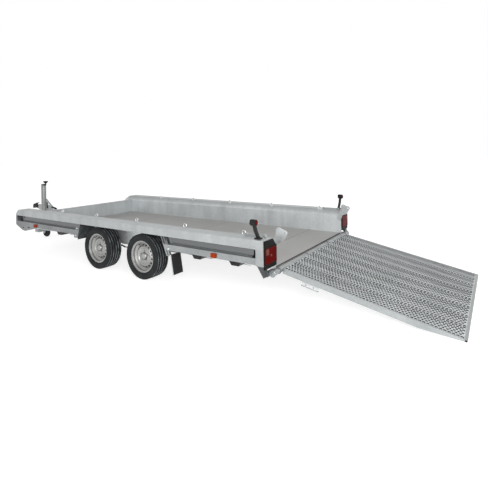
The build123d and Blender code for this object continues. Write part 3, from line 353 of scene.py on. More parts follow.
finish(galvanised, "galvanised_steel", (0.27, 0.285, 0.288), (0.47, 0.49, 0.495))
# The walls get painted light on their inner sheets and painted shade towards the front.
finish(
    galvanised, "galvanised_wall", (0.33, 0.347, 0.35), (0.53, 0.55, 0.555),
    streaks=HANGING_RUNS, clean=PAINTED_LIGHT_WALL, fade=0.09,
)
finish(galvanised, "galvanised_panel", (0.34, 0.356, 0.36), (0.56, 0.58, 0.585), streaks=HANGING_RUNS)
# The rails get painted shade on their webs and towards the front.
finish(
    galvanised, "galvanised_rail", (0.22, 0.232, 0.235), (0.42, 0.44, 0.445),
    streaks=(2.0, 2.0, 6.0), rough=(0.18, 0.30), wave=0.008, shade=SHADED_WEB, fade=0.32,
)
finish(galvanised, "galvanised_post", (0.29, 0.305, 0.308), (0.49, 0.51, 0.515), shade=SHADED_FOOT)
finish(
    galvanised, "galvanised_tread", (0.45, 0.472, 0.478), (0.68, 0.707, 0.713),
    streaks=(3.0, 20.0, 3.0), rough=(0.38, 0.56),
)
finish(
    galvanised, "latch_zinc", (0.50, 0.52, 0.525), (0.74, 0.76, 0.765),
    rough=(0.25, 0.4), shade=SHADED_LUG,
)
finish(galvanised, "bright_zinc", (0.58, 0.60, 0.605), (0.82, 0.84, 0.845), rough=(0.25, 0.4))
finish(galvanised, "aged_zinc", (0.17, 0.175, 0.172), (0.33, 0.34, 0.335))
finish(galvanised, "dark_zinc", (0.11, 0.115, 0.118), (0.24, 0.25, 0.253))
finish(moulded, "hole_shadow", (0.004, 0.004, 0.004), (0.012, 0.013, 0.013), rough=(0.7, 0.9), shine=0.05)
finish(sealed_board, "floor_board", (0.235, 0.230, 0.222), (0.318, 0.312, 0.302))
finish(flake_paint, "silver_paint", (0.275, 0.275, 0.269), (0.385, 0.385, 0.378))
# The tyres' lighter colour is painted highlight on the treads' ribs.
finish(
    rubber, "tyre_rubber", (0.009, 0.0105, 0.011), (0.026, 0.0295, 0.0305),
    rough=(0.65, 0.85), worn=(0.19, 0.204, 0.208),
)
finish(rubber, "black_rubber", (0.006, 0.006, 0.006), (0.018, 0.018, 0.018), rough=(0.45, 0.65))
finish(moulded, "black_plastic", (0.003, 0.003, 0.003), (0.008, 0.008, 0.008), rough=(0.45, 0.6), shine=0.1)
finish(moulded, "black_paint", (0.008, 0.008, 0.009), (0.022, 0.022, 0.024), rough=(0.28, 0.42))
finish(lens, "red_lens", (0.040, 0.0006, 0.0005), (0.088, 0.0012, 0.001), pitch=22.0)
finish(moulded, "liner_plastic", (0.018, 0.020, 0.0205), (0.055, 0.060, 0.061), rough=(0.5, 0.7), shine=0.1)
finish(lens, "amber_lens", (0.15, 0.013, 0.002), (0.28, 0.032, 0.005), pitch=26.0)
finish(lens, "clear_lens", (0.08, 0.022, 0.018), (0.14, 0.05, 0.042), pitch=30.0)
finish(moulded, "white_plate", (0.40, 0.41, 0.415), (0.47, 0.48, 0.485), rough=(0.3, 0.4))

# Finishes of the carried-over nodes that differ from the record's, by the start of a node's name
FINER_FINISH = {
    "side_wall": "galvanised_wall", "lower_rail": "galvanised_rail", "front_panel": "galvanised_panel",
    "rear_pillar": "galvanised_post", "floor_bearers": "dark_zinc", "axle": "dark_zinc",
    "swing_arms": "dark_zinc", "rear_beam": "dark_zinc", "ramp_planks": "galvanised_tread",
    "arch_liners": "liner_plastic", "lashing_rings": "bright_zinc", "ramp_latch": "latch_zinc",
    "jockey_sleeve": "aged_zinc",
}


class Shape:
    """Collects forms in drawn millimetres and turns them into one object."""

    def __init__(self, place=lambda point: point):
        self.bm = bmesh.new()
        self.place = place

    def corners(self, points):
        """New vertices at the points."""
        return [self.bm.verts.new(to_frame(self.place(p))) for p in points]

    def loft(self, rings, closed_ends=True, around=True):
        """Skins a row of rings that have the same number of points."""
        rows = [self.corners(ring) for ring in rings]
        count = len(rows[0])
        steps = count if around else count - 1
        for low, high in zip(rows, rows[1:]):
            for i in range(steps):
                j = (i + 1) % count
                self.bm.faces.new((low[i], low[j], high[j], high[i]))
        if closed_ends:
            self.bm.faces.new(rows[0][::-1])
            self.bm.faces.new(rows[-1])

    def flat(self, points):
        """One face through the points."""
        self.bm.faces.new(self.corners(points))

    def block(self, x0, x1, y0, y1, z0, z1, edge=0.0):
        """A rectangular block, its four upright edges and its rims eased by edge."""
        if edge <= 0.0:
            base = [(x0, y0), (x1, y0), (x1, y1), (x0, y1)]
            self.loft([[(x, y, z) for x, y in base] for z in (z0, z1)])
            return
        rings = []
        for z, inset in ((z0, edge), (z0 + edge, 0.0), (z1 - edge, 0.0), (z1, edge)):
            a0, a1, b0, b1 = x0 + inset, x1 - inset, y0 + inset, y1 - inset
            rings.append([
                (a0 + edge, b0, z), (a1 - edge, b0, z), (a1, b0 + edge, z), (a1, b1 - edge, z),
                (a1 - edge, b1, z), (a0 + edge, b1, z), (a0, b1 - edge, z), (a0, b0 + edge, z),
            ])
        self.loft(rings)

    def prism(self, outline, low, high):
        """An (X, Z) outline carried along Y."""
        self.loft([[(x, y, z) for x, z in outline] for y in (low, high)])

    def rod(self, start, end, radius, sides, edge=0.0):
        """A round bar between two points, its end rims eased by edge."""
        way = Vector(end) - Vector(start)
        length = way.length
        way.normalize()
        side = way.orthogonal().normalized()
        up = way.cross(side)
        stations = [(0.0, radius), (length, radius)]
        if edge > 0.0:
            eased = radius - edge
            stations = [(0.0, eased), (edge, radius), (length - edge, radius), (length, eased)]
        turns = [2 * pi * i / sides for i in range(sides)]
        rings = []
        for along, r in stations:
            middle = Vector(start) + way * along
            rings.append([tuple(middle + side * (r * cos(t)) + up * (r * sin(t))) for t in turns])
        self.loft(rings)

    def sweep(self, points, radius, sides=12):
        """A round tube along a row of points."""
        path = [Vector(p) for p in points]
        side = (path[1] - path[0]).normalized().orthogonal().normalized()
        turns = [2 * pi * k / sides for k in range(sides)]
        rings = []
        for i, middle in enumerate(path):
            ahead = path[min(i + 1, len(path) - 1)] - path[max(i - 1, 0)]
            ahead.normalize()
            side = (side - ahead * side.dot(ahead)).normalized()
            up = ahead.cross(side)
            rings.append([tuple(middle + side * (radius * cos(t)) + up * (radius * sin(t))) for t in turns])
        self.loft(rings)

    def turned(self, profile, centre, turns, mirror, closed):
        """Turns a (radius, Y) profile, closed or open, round the Y axis through centre, in given steps."""
        rings = [[about(centre, r, turn, mirror * y) for r, y in profile] for turn in turns]
        self.loft(rings + [rings[0]], closed_ends=False, around=closed)

    def lathe(self, profile, centre, segments, mirror):
        """Turns a closed (radius, Y) profile in even steps."""
        turns = [2 * pi * k / segments for k in range(segments)]
        self.turned(profile, centre, turns, mirror, closed=True)

    def bolt(self, at, way, size, height):
        """A bolt's hexagon head on its washer; way points out of the surface."""
        foot, seat = Vector(at), Vector(at) + Vector(way) * WASHER_T
        self.rod(tuple(foot), tuple(seat), size * WASHER_OVER, 20)
        self.rod(tuple(seat), tuple(seat + Vector(way) * height), size, 6, 0.8)

    def build(self, name, material, body, replaces=(), sharp=35.0):
        """Makes the piece, which rides with a body and may replace nodes; sharp is in degrees."""
        mesh = bpy.data.meshes.new(name)
        bmesh.ops.remove_doubles(self.bm, verts=self.bm.verts, dist=1e-6)
        bmesh.ops.recalc_face_normals(self.bm, faces=self.bm.faces)
        self.bm.to_mesh(mesh)
        self.bm.free()
        mesh.shade_smooth()
        mesh.set_sharp_from_angle(angle=radians(sharp))
        mesh.materials.append(MATERIALS[material])
        piece = bpy.data.objects.new(name, mesh)
        bpy.context.scene.collection.objects.link(piece)
        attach(piece, body)
        if replaces:
            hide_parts(*replaces)


def dress_cad_nodes():
    """Gives every carried-over node its procedural finish."""
    choices = {row["node"]: row["material_slot"] for row in frame["record"]["subparts"]}
    for node, piece in NODES.items():
        for start, finer in FINER_FINISH.items():
            if node.startswith(start):
                choices[node] = finer
        piece.data.materials.clear()
        piece.data.materials.append(MATERIALS[choices[node]])


# Tyres
BEAD_R, BEAD_Y = 166.0, 66.0
CROWN_DROP = 3.2            # how far the tread falls from its crown to the sidewall
GROOVE_DEPTH = 8.0
GROOVE_LEAN = 0.8           # half of how far a groove's wall leans
TREAD_RIBS = ((84.0, 57.0), (45.0, 21.0), (9.0, -9.0))     # outer and inner edge of each rib
LUGS = 72                   # sipes round the tread
LUG_STEPS = 4
SIPE_DEPTH = 4.5
SIPE_BAND = 5.0             # sipes cut what lies less than this under the crown
SIPE_SHARE = 0.25           # a sipe's length over its lug's
SIPE_SLANT = 0.35           # how many lugs a sipe leans over the width below
SIPE_SLANT_W = 40.0
SIPE_INNER_Y = 10.0         # the middle rib has no sipes
SIPE_TURN_Y = 48.0          # outside this the sipes lean the other way
NOTCH_DEPTH = 3.5
NOTCH_R = (248.0, 254.0)    # inner and outer radius of the notches in the shoulders


def tyre_profile():
    """(radius, Y) points round one tyre: beads, sidewalls with raised rings, shoulders, grooved tread."""
    half = TYRE_W / 2
    flank = [
        (BEAD_R, BEAD_Y), (184.0, BEAD_Y), (187.0, 80.0), (190.0, half - 10.0), (196.0, half - 5.5),
        (198.0, half - 3.0), (201.0, half - 3.0), (203.0, half - 3.6), (214.0, half - 0.6), (222.0, half),
        (230.0, half - 1.4), (232.0, half - 0.4), (236.0, half - 1.0), (238.0, half - 3.4),
        (244.0, half - 7.0), (249.0, half - 10.0), (253.0, half - 14.5),
    ]
    tread = []
    for start, end in TREAD_RIBS:
        top = TYRE_R - CROWN_DROP * (start / half) ** 2
        floor_r = top - GROOVE_DEPTH
        tread += [
            (floor_r, start + GROOVE_LEAN), (top, start - GROOVE_LEAN), (top, (start + end) / 2),
            (top, end + GROOVE_LEAN), (floor_r, end - GROOVE_LEAN),
        ]
    upper = flank + [(r, y) for r, y in tread if y > 0.0]
    lower = [(r, -y) for r, y in upper[::-1]]
    return upper + [(TYRE_R, 0.0)] + lower


def tyre(end, side, mirror):
    """One tyre with a tread cut by four grooves and by cross sipes."""
    centre = wheel_place(end, mirror)
    profile = tyre_profile()
    rings = []
    for k in range(LUGS * LUG_STEPS):
        turn = 2 * pi * k / (LUGS * LUG_STEPS)
        ring = []
        for r, y in profile:
            slant = SIPE_SLANT if abs(y) > SIPE_TURN_Y else -SIPE_SLANT
            phase = (k / LUG_STEPS + slant * y / SIPE_SLANT_W) % 1.0
            on_rib = r > TYRE_R - SIPE_BAND and abs(y) > SIPE_INNER_Y
            sipe = SIPE_DEPTH if on_rib and phase < SIPE_SHARE else 0.0
            on_shoulder = NOTCH_R[0] < r < NOTCH_R[1]
            notch = NOTCH_DEPTH if on_shoulder and (k // 2) % 2 == 0 else 0.0
            ring.append(about(centre, r - sipe - notch, turn, mirror * y))
        rings.append(ring)
    shape = Shape()
    shape.loft(rings + [rings[0]], closed_ends=False)
    node = f"tyre_{end}_{side}"
    shape.build("tread_" + node, "tyre_rubber", f"wheel_{end}_{side}", [node], 28.0)


# Rims
RIM_FACE = 50.0             # disc's face, out from the wheel's middle plane
HUB_DEPTH = 10.0            # bolts' ring, in from the disc's face
DISC_T = 4.0
WHEEL_HOLES = 16
HOLE_CIRCLE_R = 125.0
HOLE_BAND = (110.0, 138.5)  # inner and outer radius of the band with the holes
BAND_SLOPE = 0.75           # how far the band falls back for each millimetre outwards
WHEEL_HOLE_R = 10.6
HOLE_ROUNDING = 1.4
HOLE_FLATTEN = 0.9          # a hole's width outwards over its width round the wheel
HOLE_SIDES = 16
# Points of the inner and outer border of one hole's field, as shares of its half angle
FIELD_STEPS = (-1.0, -0.414, 0.0, 0.414)
# Sections as (radius, Y): the barrel and the drum from the middle plane, the disc from its face
RIM_BARREL = [
    (182.0, 78.0), (182.0, 74.0), (176.0, 70.0), (166.5, 68.0), (165.0, 64.0), (165.0, 42.0), (143.0, 25.0),
    (143.0, -15.0), (165.0, -31.0), (165.0, -64.0), (166.5, -68.0), (176.0, -70.0), (182.0, -74.0),
    (182.0, -78.0), (178.6, -78.0), (177.0, -73.0), (163.5, -70.0), (161.0, -65.0), (161.0, -33.0),
    (139.0, -17.0), (139.0, 27.0), (161.0, 44.0), (161.0, 65.0), (163.5, 70.0), (177.0, 73.0), (178.6, 78.0),
]
DISC_SHELL = [
    (110.0, 0.0), (107.5, 1.2), (104.0, 1.6), (98.0, 0.4), (92.0, -7.0), (88.0, -11.5), (84.0, -13.5),
    (76.0, -14.0), (72.0, -12.5), (69.0, -10.5), (65.0, -10.0), (44.0, -10.0), (39.0, -8.5), (36.0, -4.0),
    (34.5, 5.0), (31.0, 9.0), (22.0, 10.5), (0.5, 11.0), (0.5, -18.0), (88.0, -18.0), (94.0, -11.0),
    (100.0, -4.5), (110.0, -4.0),
]
DISC_EDGE = [
    (138.5, -21.4), (140.6, -24.0), (140.6, -38.0), (137.2, -38.0), (137.2, -28.0), (138.5, -25.4),
]
DRUM = [
    (23.0, -95.0), (109.0, -95.0), (112.0, -92.0), (112.0, -52.0), (109.0, -49.0), (78.0, -39.0),
    (69.0, 22.0), (23.0, 22.0),
]


def hole_field(face, mirror, middle):
    """Rings of one hole's field in the band: border, rounded edge, hole's wall and the border at the back."""
    low, high = HOLE_BAND
    half = pi / WHEEL_HOLES
    rings = []
    for hole_r, y in (
        (None, 0.0), (WHEEL_HOLE_R + HOLE_ROUNDING, 0.0), (WHEEL_HOLE_R, -HOLE_ROUNDING),
        (WHEEL_HOLE_R, -DISC_T), (None, -DISC_T),
    ):
        ring = []
        for i in range(HOLE_SIDES):
            a, b = cos(2 * pi * i / HOLE_SIDES), sin(2 * pi * i / HOLE_SIDES)
            if hole_r is None:
                reach = max(abs(a), abs(b))
                r, turn = (low + high) / 2 + (high - low) / 2 * b / reach, middle + half * a / reach
            else:
                r, turn = HOLE_CIRCLE_R + HOLE_FLATTEN * hole_r * b, middle + hole_r * a / HOLE_CIRCLE_R
            ring.append(about(face, r, turn, mirror * (y - BAND_SLOPE * (r - low))))
        rings.append(ring)
    return rings


def rim(end, side, mirror):
    """Pressed rim: curled flanges, well, dished disc with a ring of holes, hub cap and brake drum."""
    centre = wheel_place(end, mirror)
    face = wheel_place(end, mirror, RIM_FACE)
    half = pi / WHEEL_HOLES
    middles = [2 * half * (k + 0.5) for k in range(WHEEL_HOLES)]
    turns = [middle + half * step for middle in middles for step in FIELD_STEPS]
    shape = Shape()
    shape.lathe(RIM_BARREL, centre, 96, mirror)
    shape.lathe(DRUM, centre, 64, mirror)
    shape.turned(DISC_SHELL, face, turns, mirror, closed=False)
    shape.turned(DISC_EDGE, face, turns, mirror, closed=False)
    for middle in middles:
        shape.loft(hole_field(face, mirror, middle), closed_ends=False)
    node = f"rim_{end}_{side}"
    shape.build("pressed_" + node, "silver_paint", f"wheel_{end}_{side}", [node], 40.0)


# What stands on the rims
WHEEL_BOLTS = 5
BOLT_CIRCLE_R = 55.0
FIRST_BOLT_TURN = 0.3
BOLT_R = 5.5
BOLT_HEAD = (0.0, 4.0)      # its ends, out from the hub
# Black discs under the bolts and black rings round the cap and behind the holes are painted shade
BOLT_SHADE_R = 9.0
BOLT_SHADE = (-3.5, 0.4)
CAP_SHADOW = [(36.5, -1.0), (44.0, -1.0), (44.0, 0.6), (38.0, 3.4)]
HOLE_SHADE = [(100.0, -5.0), (111.0, -5.0), (136.5, -24.0), (136.5, -28.0), (100.0, -9.0)]
VALVE_CIRCLE_R, VALVE_TURN = 148.0, 1.1
VALVE_FOOT = -2.0           # out from the hub
VALVE_STEM = (-4.0, 34.0, -8.0)     # from its foot to its tip
VALVE_R = 5.0


def wheel_fittings(end, side, mirror):
    """Wheel bolts on black discs of painted shade, black rings of painted shade behind the holes and round
    the cap, and one wheel's valve.
    """
    hub = wheel_place(end, mirror, RIM_FACE - HUB_DEPTH)
    body = f"wheel_{end}_{side}"
    bolts, painted_shades, valve = Shape(), Shape(), Shape()
    for k in range(WHEEL_BOLTS):
        turn = 2 * pi * k / WHEEL_BOLTS + FIRST_BOLT_TURN
        shade_ends, head_ends = (
            [about(hub, BOLT_CIRCLE_R, turn, mirror * out) for out in ends] for ends in (BOLT_SHADE, BOLT_HEAD)
        )
        painted_shades.rod(*shade_ends, BOLT_SHADE_R, 18)
        bolts.rod(*head_ends, BOLT_R, 6, 1.0)
    bolts.build(f"bolts_{end}_{side}", "silver_paint", body)
    painted_shades.lathe(CAP_SHADOW, hub, 40, mirror)
    painted_shades.lathe(HOLE_SHADE, hub, 48, mirror)
    painted_shades.build(f"wheel_shadows_{end}_{side}", "hole_shadow", body)
    foot = about(hub, VALVE_CIRCLE_R, VALVE_TURN, mirror * VALVE_FOOT)
    stem_x, stem_y, stem_z = VALVE_STEM
    valve.rod(foot, (foot[0] + stem_x, foot[1] + mirror * stem_y, foot[2] + stem_z), VALVE_R, 14, 1.5)
    valve.build(f"valve_{end}_{side}", "black_rubber", body)


# Ramp's tread planks
PLANKS = 8
PLANK_ROWS = 7              # rows of holes across one plank
PLANK_JOINT = 3.0
PLANK_DEPTH = 12.0
PLANK_START = 4.4           # from the start of the ramp's beams to the planks
PLANK_END = 1.0             # from the planks to the end bar
FOLD_T = 2.5                # thickness of the folded edges
FOLD_DOWN = 0.2             # their top, under the skin
HOLE_PITCH = 30.0
OPEN_ROWS = (0, 1, 2, 6)    # rows with wide open holes; the others have raised cones
HOLE_FOOT = 14.4            # rim of a hole's pressed skirt
OPEN_HOLE = (13.0, -0.8)    # radius, height of its lip over the skin
CONE_HOLE = (10.4, 2.4)
THROAT_DEPTH = 9.0          # pressed collar round each hole, under the skin
COLLAR_T = 1.4
# Border of a hole's field, in halves of its length and width
FIELD_BORDER = ((1, 1), (0, 1), (-1, 1), (-1, 0), (-1, -1), (0, -1), (1, -1), (1, 0))


def hole_ring(away, y, radius, height):
    """Eight points round a plank's hole, in the order of its field's border."""
    turns = [atan2(b, a) for a, b in FIELD_BORDER]
    return [(away + radius * cos(turn), y + radius * sin(turn), height) for turn in turns]


def plank(number):
    """One perforated tread plank: wide open holes and raised pierced cones, in staggered rows."""
    width = 2 * RAMP_INNER_HALF_W / PLANKS
    y_low = -RAMP_INNER_HALF_W + number * width + PLANK_JOINT / 2
    row = (width - PLANK_JOINT) / PLANK_ROWS
    near, far = RAMP_START + PLANK_START, RAMP_L - RAMP_END_BAR - PLANK_END
    columns = round((far - near) / HOLE_PITCH)
    pitch = (far - near) / columns
    throat_h = RAMP_TOP_H - THROAT_DEPTH
    skin, throat_shade = Shape(on_ramp), Shape(on_ramp)
    for j in range(PLANK_ROWS):
        y = y_low + (j + 0.5) * row
        radius, lift = OPEN_HOLE if j in OPEN_ROWS else CONE_HOLE
        staggered = j % 2
        if staggered:
            for end, inner in ((near, near + pitch / 2), (far, far - pitch / 2)):
                outline = [(end, -row / 2), (inner, -row / 2), (inner, 0.0), (inner, row / 2), (end, row / 2)]
                skin.flat([(away, y + aside, RAMP_TOP_H) for away, aside in outline])
        for i in range(columns - staggered):
            away = near + (i + (1.0 if staggered else 0.5)) * pitch
            border = [(away + a * pitch / 2, y + b * row / 2, RAMP_TOP_H) for a, b in FIELD_BORDER]
            skirt = hole_ring(away, y, HOLE_FOOT, RAMP_TOP_H)
            lip = hole_ring(away, y, radius, RAMP_TOP_H + lift)
            throat = hole_ring(away, y, radius, throat_h)
            collar = hole_ring(away, y, radius + COLLAR_T, throat_h)
            root = hole_ring(away, y, radius + COLLAR_T, RAMP_TOP_H - COLLAR_T)
            skin.loft([border, skirt, lip], closed_ends=False)
            throat_shade.loft([lip, throat], closed_ends=False)
            skin.loft([throat, collar, root], closed_ends=False)
    y_high = y_low + PLANK_ROWS * row
    for low, high in ((y_low, y_low + FOLD_T), (y_high - FOLD_T, y_high)):
        skin.block(near, far, low, high, RAMP_TOP_H - PLANK_DEPTH, RAMP_TOP_H - FOLD_DOWN)
    skin.build(f"perforated_plank_{number + 1}", "galvanised_tread", "ramp", ["ramp_planks"], 50.0)
    # The holes' inner walls are black, as painted shade.
    throat_shade.build(f"plank_hole_shade_{number + 1}", "hole_shadow", "ramp", sharp=80.0)


# Floor
BEARER_XS = (PANEL_X - 280.0, 1277.0, 890.0, 150.0, -680.0, BED_REAR_X + 826.0, BED_REAR_X + 349.0)
SCREWS_ACROSS = 7
SCREW_PITCH = 280.0
SCREW_R = 8.5
BOARD_JOINT_X = 1198.0      # foremost joint between the boards
BOARD_L = 1388.0
BOARD_JOINTS = 3
JOINT_W = 4.0
JOINT_DEPTH = 2.0
JOINT_END = 2.0             # from a joint's end to the bed's side
# Black strip of painted shade along the floor's rear edge, for the gap to the ramp
GAP_SHADE_W = 17.0
GAP_SHADE_END = 6.0


def floor_screws():
    """Countersunk screw heads over the bearers, dark joints between the boards, and a black strip of painted
    shade on the rear edge, for the gap to the ramp.
    """
    screws, joints_and_gap_shade = Shape(), Shape()
    for x in BEARER_XS:
        for k in range(SCREWS_ACROSS):
            y = SCREW_PITCH * (k - (SCREWS_ACROSS - 1) / 2)
            screws.rod((x, y, FLOOR_TOP_Z - 1.0), (x, y, FLOOR_TOP_Z + 0.8), SCREW_R, 14, 0.5)
    screws.build("floor_screws", "dark_zinc", "chassis")
    low = FLOOR_TOP_Z - JOINT_DEPTH
    half = BED_HALF_W - JOINT_END
    for i in range(BOARD_JOINTS):
        x = BOARD_JOINT_X - i * BOARD_L
        joints_and_gap_shade.block(x - JOINT_W / 2, x + JOINT_W / 2, -half, half, low, FLOOR_TOP_Z + 0.3)
    half = BED_HALF_W - GAP_SHADE_END
    joints_and_gap_shade.block(BED_REAR_X + 0.5, BED_REAR_X + GAP_SHADE_W, -half, half, low, FLOOR_TOP_Z + 0.6)
    joints_and_gap_shade.build("floor_joints_and_gap_shade", "black_rubber", "chassis")


# Rails, mudflaps and brake cables; outlines are (X, Z)
# Black plate of painted shade behind the openings of the rails' noses
NOSE_SHADE = [
    (1840.0, 388.0), (2100.0, 330.0), (2178.0, 334.0), (2325.0, 390.0), (2325.0, 450.0), (1840.0, 450.0),
]
NOSE_SHADE_Y = (1122.0, 1126.0)
FLAP_X, FLAP_TOP_Z, FLAP_LOW_Z, FLAP_RAKE = -866.0, 345.0, 131.0, 36.0
FLAP_STRIP_X = (1.8, -7.8)          # its front and rear face, from the flap's front at the top
FLAP_STRIP_Y = (1139.0, 1151.0)
CABLE_PATH = [
    (345.0, 945.0, 268.0), (260.0, 938.0, 296.0), (185.0, 934.0, 286.0), (120.0, 932.0, 268.0),
    (40.0, 926.0, 272.0), (-60.0, 915.0, 292.0), (-200.0, 900.0, 284.0),
]
CABLE_R = 6.0
CABLE_SLEEVE = ((118.0, 932.0, 268.0), (188.0, 934.0, 287.0))
CABLE_SLEEVE_R = 9.5
CATCH_X = (-1920.0, -1908.0)
CATCH_Y = (1103.0, 1112.0)
CATCH_Z = (448.0, 514.0)
CATCH_KNOB = ((-1914.0, 1106.0, 462.0), (-1914.0, 1132.0, 458.0))
CATCH_KNOB_R = 12.0
STAY_BOLTS = ((798.0, 478.0), (829.0, 382.0), (-846.0, 407.0))
STAY_BOLT_R, STAY_BOLT_H = 8.0, 5.0


def nose_shade(side, mirror):
    """Black plate of painted shade that closes the two openings of the rail's nose from inside."""
    shape = Shape()
    shape.prism(NOSE_SHADE, *span(mirror, *NOSE_SHADE_Y))
    shape.build(f"nose_shade_{side}", "black_paint", "chassis")


def mudflap_edge(side, mirror):
    """Light strip up the outer edge of one mudflap."""
    front, rear = (FLAP_X + away for away in FLAP_STRIP_X)
    outline = [
        (front, FLAP_TOP_Z), (rear, FLAP_TOP_Z),
        (rear - FLAP_RAKE, FLAP_LOW_Z), (front - FLAP_RAKE, FLAP_LOW_Z),
    ]
    shape = Shape()
    shape.prism(outline, *span(mirror, *FLAP_STRIP_Y))
    shape.build(f"mudflap_edge_{side}", "bright_zinc", "chassis")


def brake_cable(side, mirror):
    """Brake cable of one side, from the front drum back to the rear axle."""
    shape = Shape()
    shape.sweep([(x, mirror * y, z) for x, y, z in CABLE_PATH], CABLE_R)
    start, end = ((x, mirror * y, z) for x, y, z in CABLE_SLEEVE)
    shape.rod(start, end, CABLE_SLEEVE_R, 16, 1.5)
    shape.build(f"brake_cable_{side}", "black_rubber", "chassis")


def side_catch(side, mirror):
    """Small black catch in the lower rail's recess beside the corner post."""
    shape = Shape()
    shape.block(*CATCH_X, *span(mirror, *CATCH_Y), *CATCH_Z, 2.0)
    start, end = ((x, mirror * y, z) for x, y, z in CATCH_KNOB)
    shape.rod(start, end, CATCH_KNOB_R, 20, 3.0)
    shape.build(f"side_catch_{side}", "black_plastic", "chassis")


def stay_bolts(side, mirror):
    """Bolt heads on the rails before and behind the wheels of one side."""
    bolts = Shape()
    for x, z in STAY_BOLTS:
        bolts.bolt((x, mirror * OUTER_Y, z), (0.0, mirror, 0.0), STAY_BOLT_R, STAY_BOLT_H)
    bolts.build(f"stay_bolts_{side}", "bright_zinc", "chassis")


# Hinge, number plate and handbrake
HINGE_END_Y = 1048.0
HINGE_RING = [(17.0, -14.0), (33.0, -14.0), (34.0, -12.0), (34.0, -2.0), (32.0, 0.0), (20.0, 0.0)]
HINGE_RING_OUT = 2.0
HINGE_PLUG = (-6.0, 1.2)            # its ends, out from the tube's end
HINGE_PLUG_R = 14.0
PLATE_FROM, PLATE_TO = 231.0, 404.0     # holder's bars: distances from the hinge
PLATE_BAR_Y = (876.0, 888.5)
PLATE_BARS_H = (-71.5, -30.0)
PLATE_BAR_T = 4.5
PLATE_SCREWS = (276.0, 352.0)
PLATE_SCREW_Y = (884.0, 888.0)
PLATE_SCREW_H = -50.0
PIVOT_X = 3460.0
# From the handbrake's pivot: distance along X, height over the shaft; the link's ends have Y between them
BAR_OUTLINE = ((10.0, 156.0), (-208.0, 20.0), (-226.0, 36.0), (-12.0, 174.0))
BAR_Y = (52.5, 73.5)
LINK_FROM = (-30.0, 48.0, 60.0)
LINK_TO = (-290.0, 40.0, -20.0)
LINK_R = 7.0


def hinge_ring(side, mirror):
    """Ring and plug on one end of the ramp's hinge tube."""
    shape = Shape()
    ring_place = (HINGE_X, mirror * (HINGE_END_Y + HINGE_RING_OUT), HINGE_Z)
    shape.lathe(HINGE_RING, ring_place, 36, mirror)
    start, end = ((HINGE_X, mirror * (HINGE_END_Y + out), HINGE_Z) for out in HINGE_PLUG)
    shape.rod(start, end, HINGE_PLUG_R, 24, 1.0)
    shape.build(f"hinge_ring_{side}", "galvanised_steel", "ramp")


def plate_holder():
    """Bars and screws that hold the blank number plate under the ramp."""
    bars, screws = Shape(on_ramp), Shape(on_ramp)
    for low in PLATE_BARS_H:
        bars.block(PLATE_FROM, PLATE_TO, *PLATE_BAR_Y, low, low + PLATE_BAR_T)
    bars.build("plate_holder", "aged_zinc", "ramp")
    for away in PLATE_SCREWS:
        start, end = ((away, y, PLATE_SCREW_H) for y in PLATE_SCREW_Y)
        screws.rod(start, end, 5.0, 16, 0.8)
    screws.build("plate_screws", "black_plastic", "ramp")


def handbrake_bar():
    """Bright bar of the handbrake lever and its second link."""
    shape = Shape()
    shape.prism([(PIVOT_X + ahead, SHAFT_Z + up) for ahead, up in BAR_OUTLINE], *BAR_Y)
    shape.sweep([(PIVOT_X + ahead, y, SHAFT_Z + up) for ahead, y, up in (LINK_FROM, LINK_TO)], LINK_R)
    shape.build("handbrake_bar", "galvanised_steel", "chassis")


# Lamps
LENS_FACE_X = BED_REAR_X - 16.0
LAMP_Y = (934.0, 1136.0)
LAMP_Z = (396.0, 552.0)
LAMP_BARS_Z = ((396.0, 402.0), (546.0, 552.0), (470.0, 473.0))
LAMP_BAR_X = (LENS_FACE_X - 1.5, LENS_FACE_X + 6.0)
LAMP_BAR_HALF_W = 3.0
CLEAR_X = (LENS_FACE_X - 2.2, LENS_FACE_X + 2.0)
# Clear fields of the lens: inner and outer Y, lower and upper edge, eased edge
CLEAR_FIELDS = ((1072.0, 1124.0, 484.0, 540.0, 2.0), (1018.0, 1046.0, 462.0, 482.0, 1.0))
MARKER_X, MARKER_Y, MARKER_Z = -1945.0, 1164.0, 786.0
MARKER_LENS_R = 22.0
MARKER_LENS = (28.0, 34.0)          # its back and its face, from the lamp's middle


def rear_lamp_details(side, mirror):
    """Black frame of one rear lamp and the clear fields in its lens."""
    bars, clear = Shape(), Shape()
    for low, high in LAMP_BARS_Z:
        bars.block(*LAMP_BAR_X, *span(mirror, *LAMP_Y), low, high, 0.6)
    for y in LAMP_Y:
        edges = (mirror * y - LAMP_BAR_HALF_W, mirror * y + LAMP_BAR_HALF_W)
        bars.block(*LAMP_BAR_X, *edges, *LAMP_Z, 0.6)
    bars.build(f"lamp_frame_{side}", "black_plastic", "chassis")
    for inner, outer, low, high, edge in CLEAR_FIELDS:
        clear.block(*CLEAR_X, *span(mirror, inner, outer), low, high, edge)
    clear.build(f"lamp_clear_{side}", "clear_lens", "chassis")


def marker_lenses(side, mirror):
    """Red lens to the rear and clear lens to the front of one marker lamp."""
    for colour, way in (("red", -1), ("clear", 1)):
        shape = Shape()
        back, face = ((MARKER_X + way * away, mirror * MARKER_Y, MARKER_Z) for away in MARKER_LENS)
        shape.rod(back, face, MARKER_LENS_R, 28, 2.0)
        shape.build(f"marker_{colour}_{side}", f"{colour}_lens", "chassis")


# Camera, solved from the photograph's straight edges
CAMERA_PLACE = (-3827.0, 4158.2, 1422.1)
CAMERA_YAW, CAMERA_ROLL = radians(33.4), radians(1.0)
PICTURE_PX = 488.0
FOCAL_PX = 385.6
AXIS_ROW_PX = 153.4         # row of the optical axis


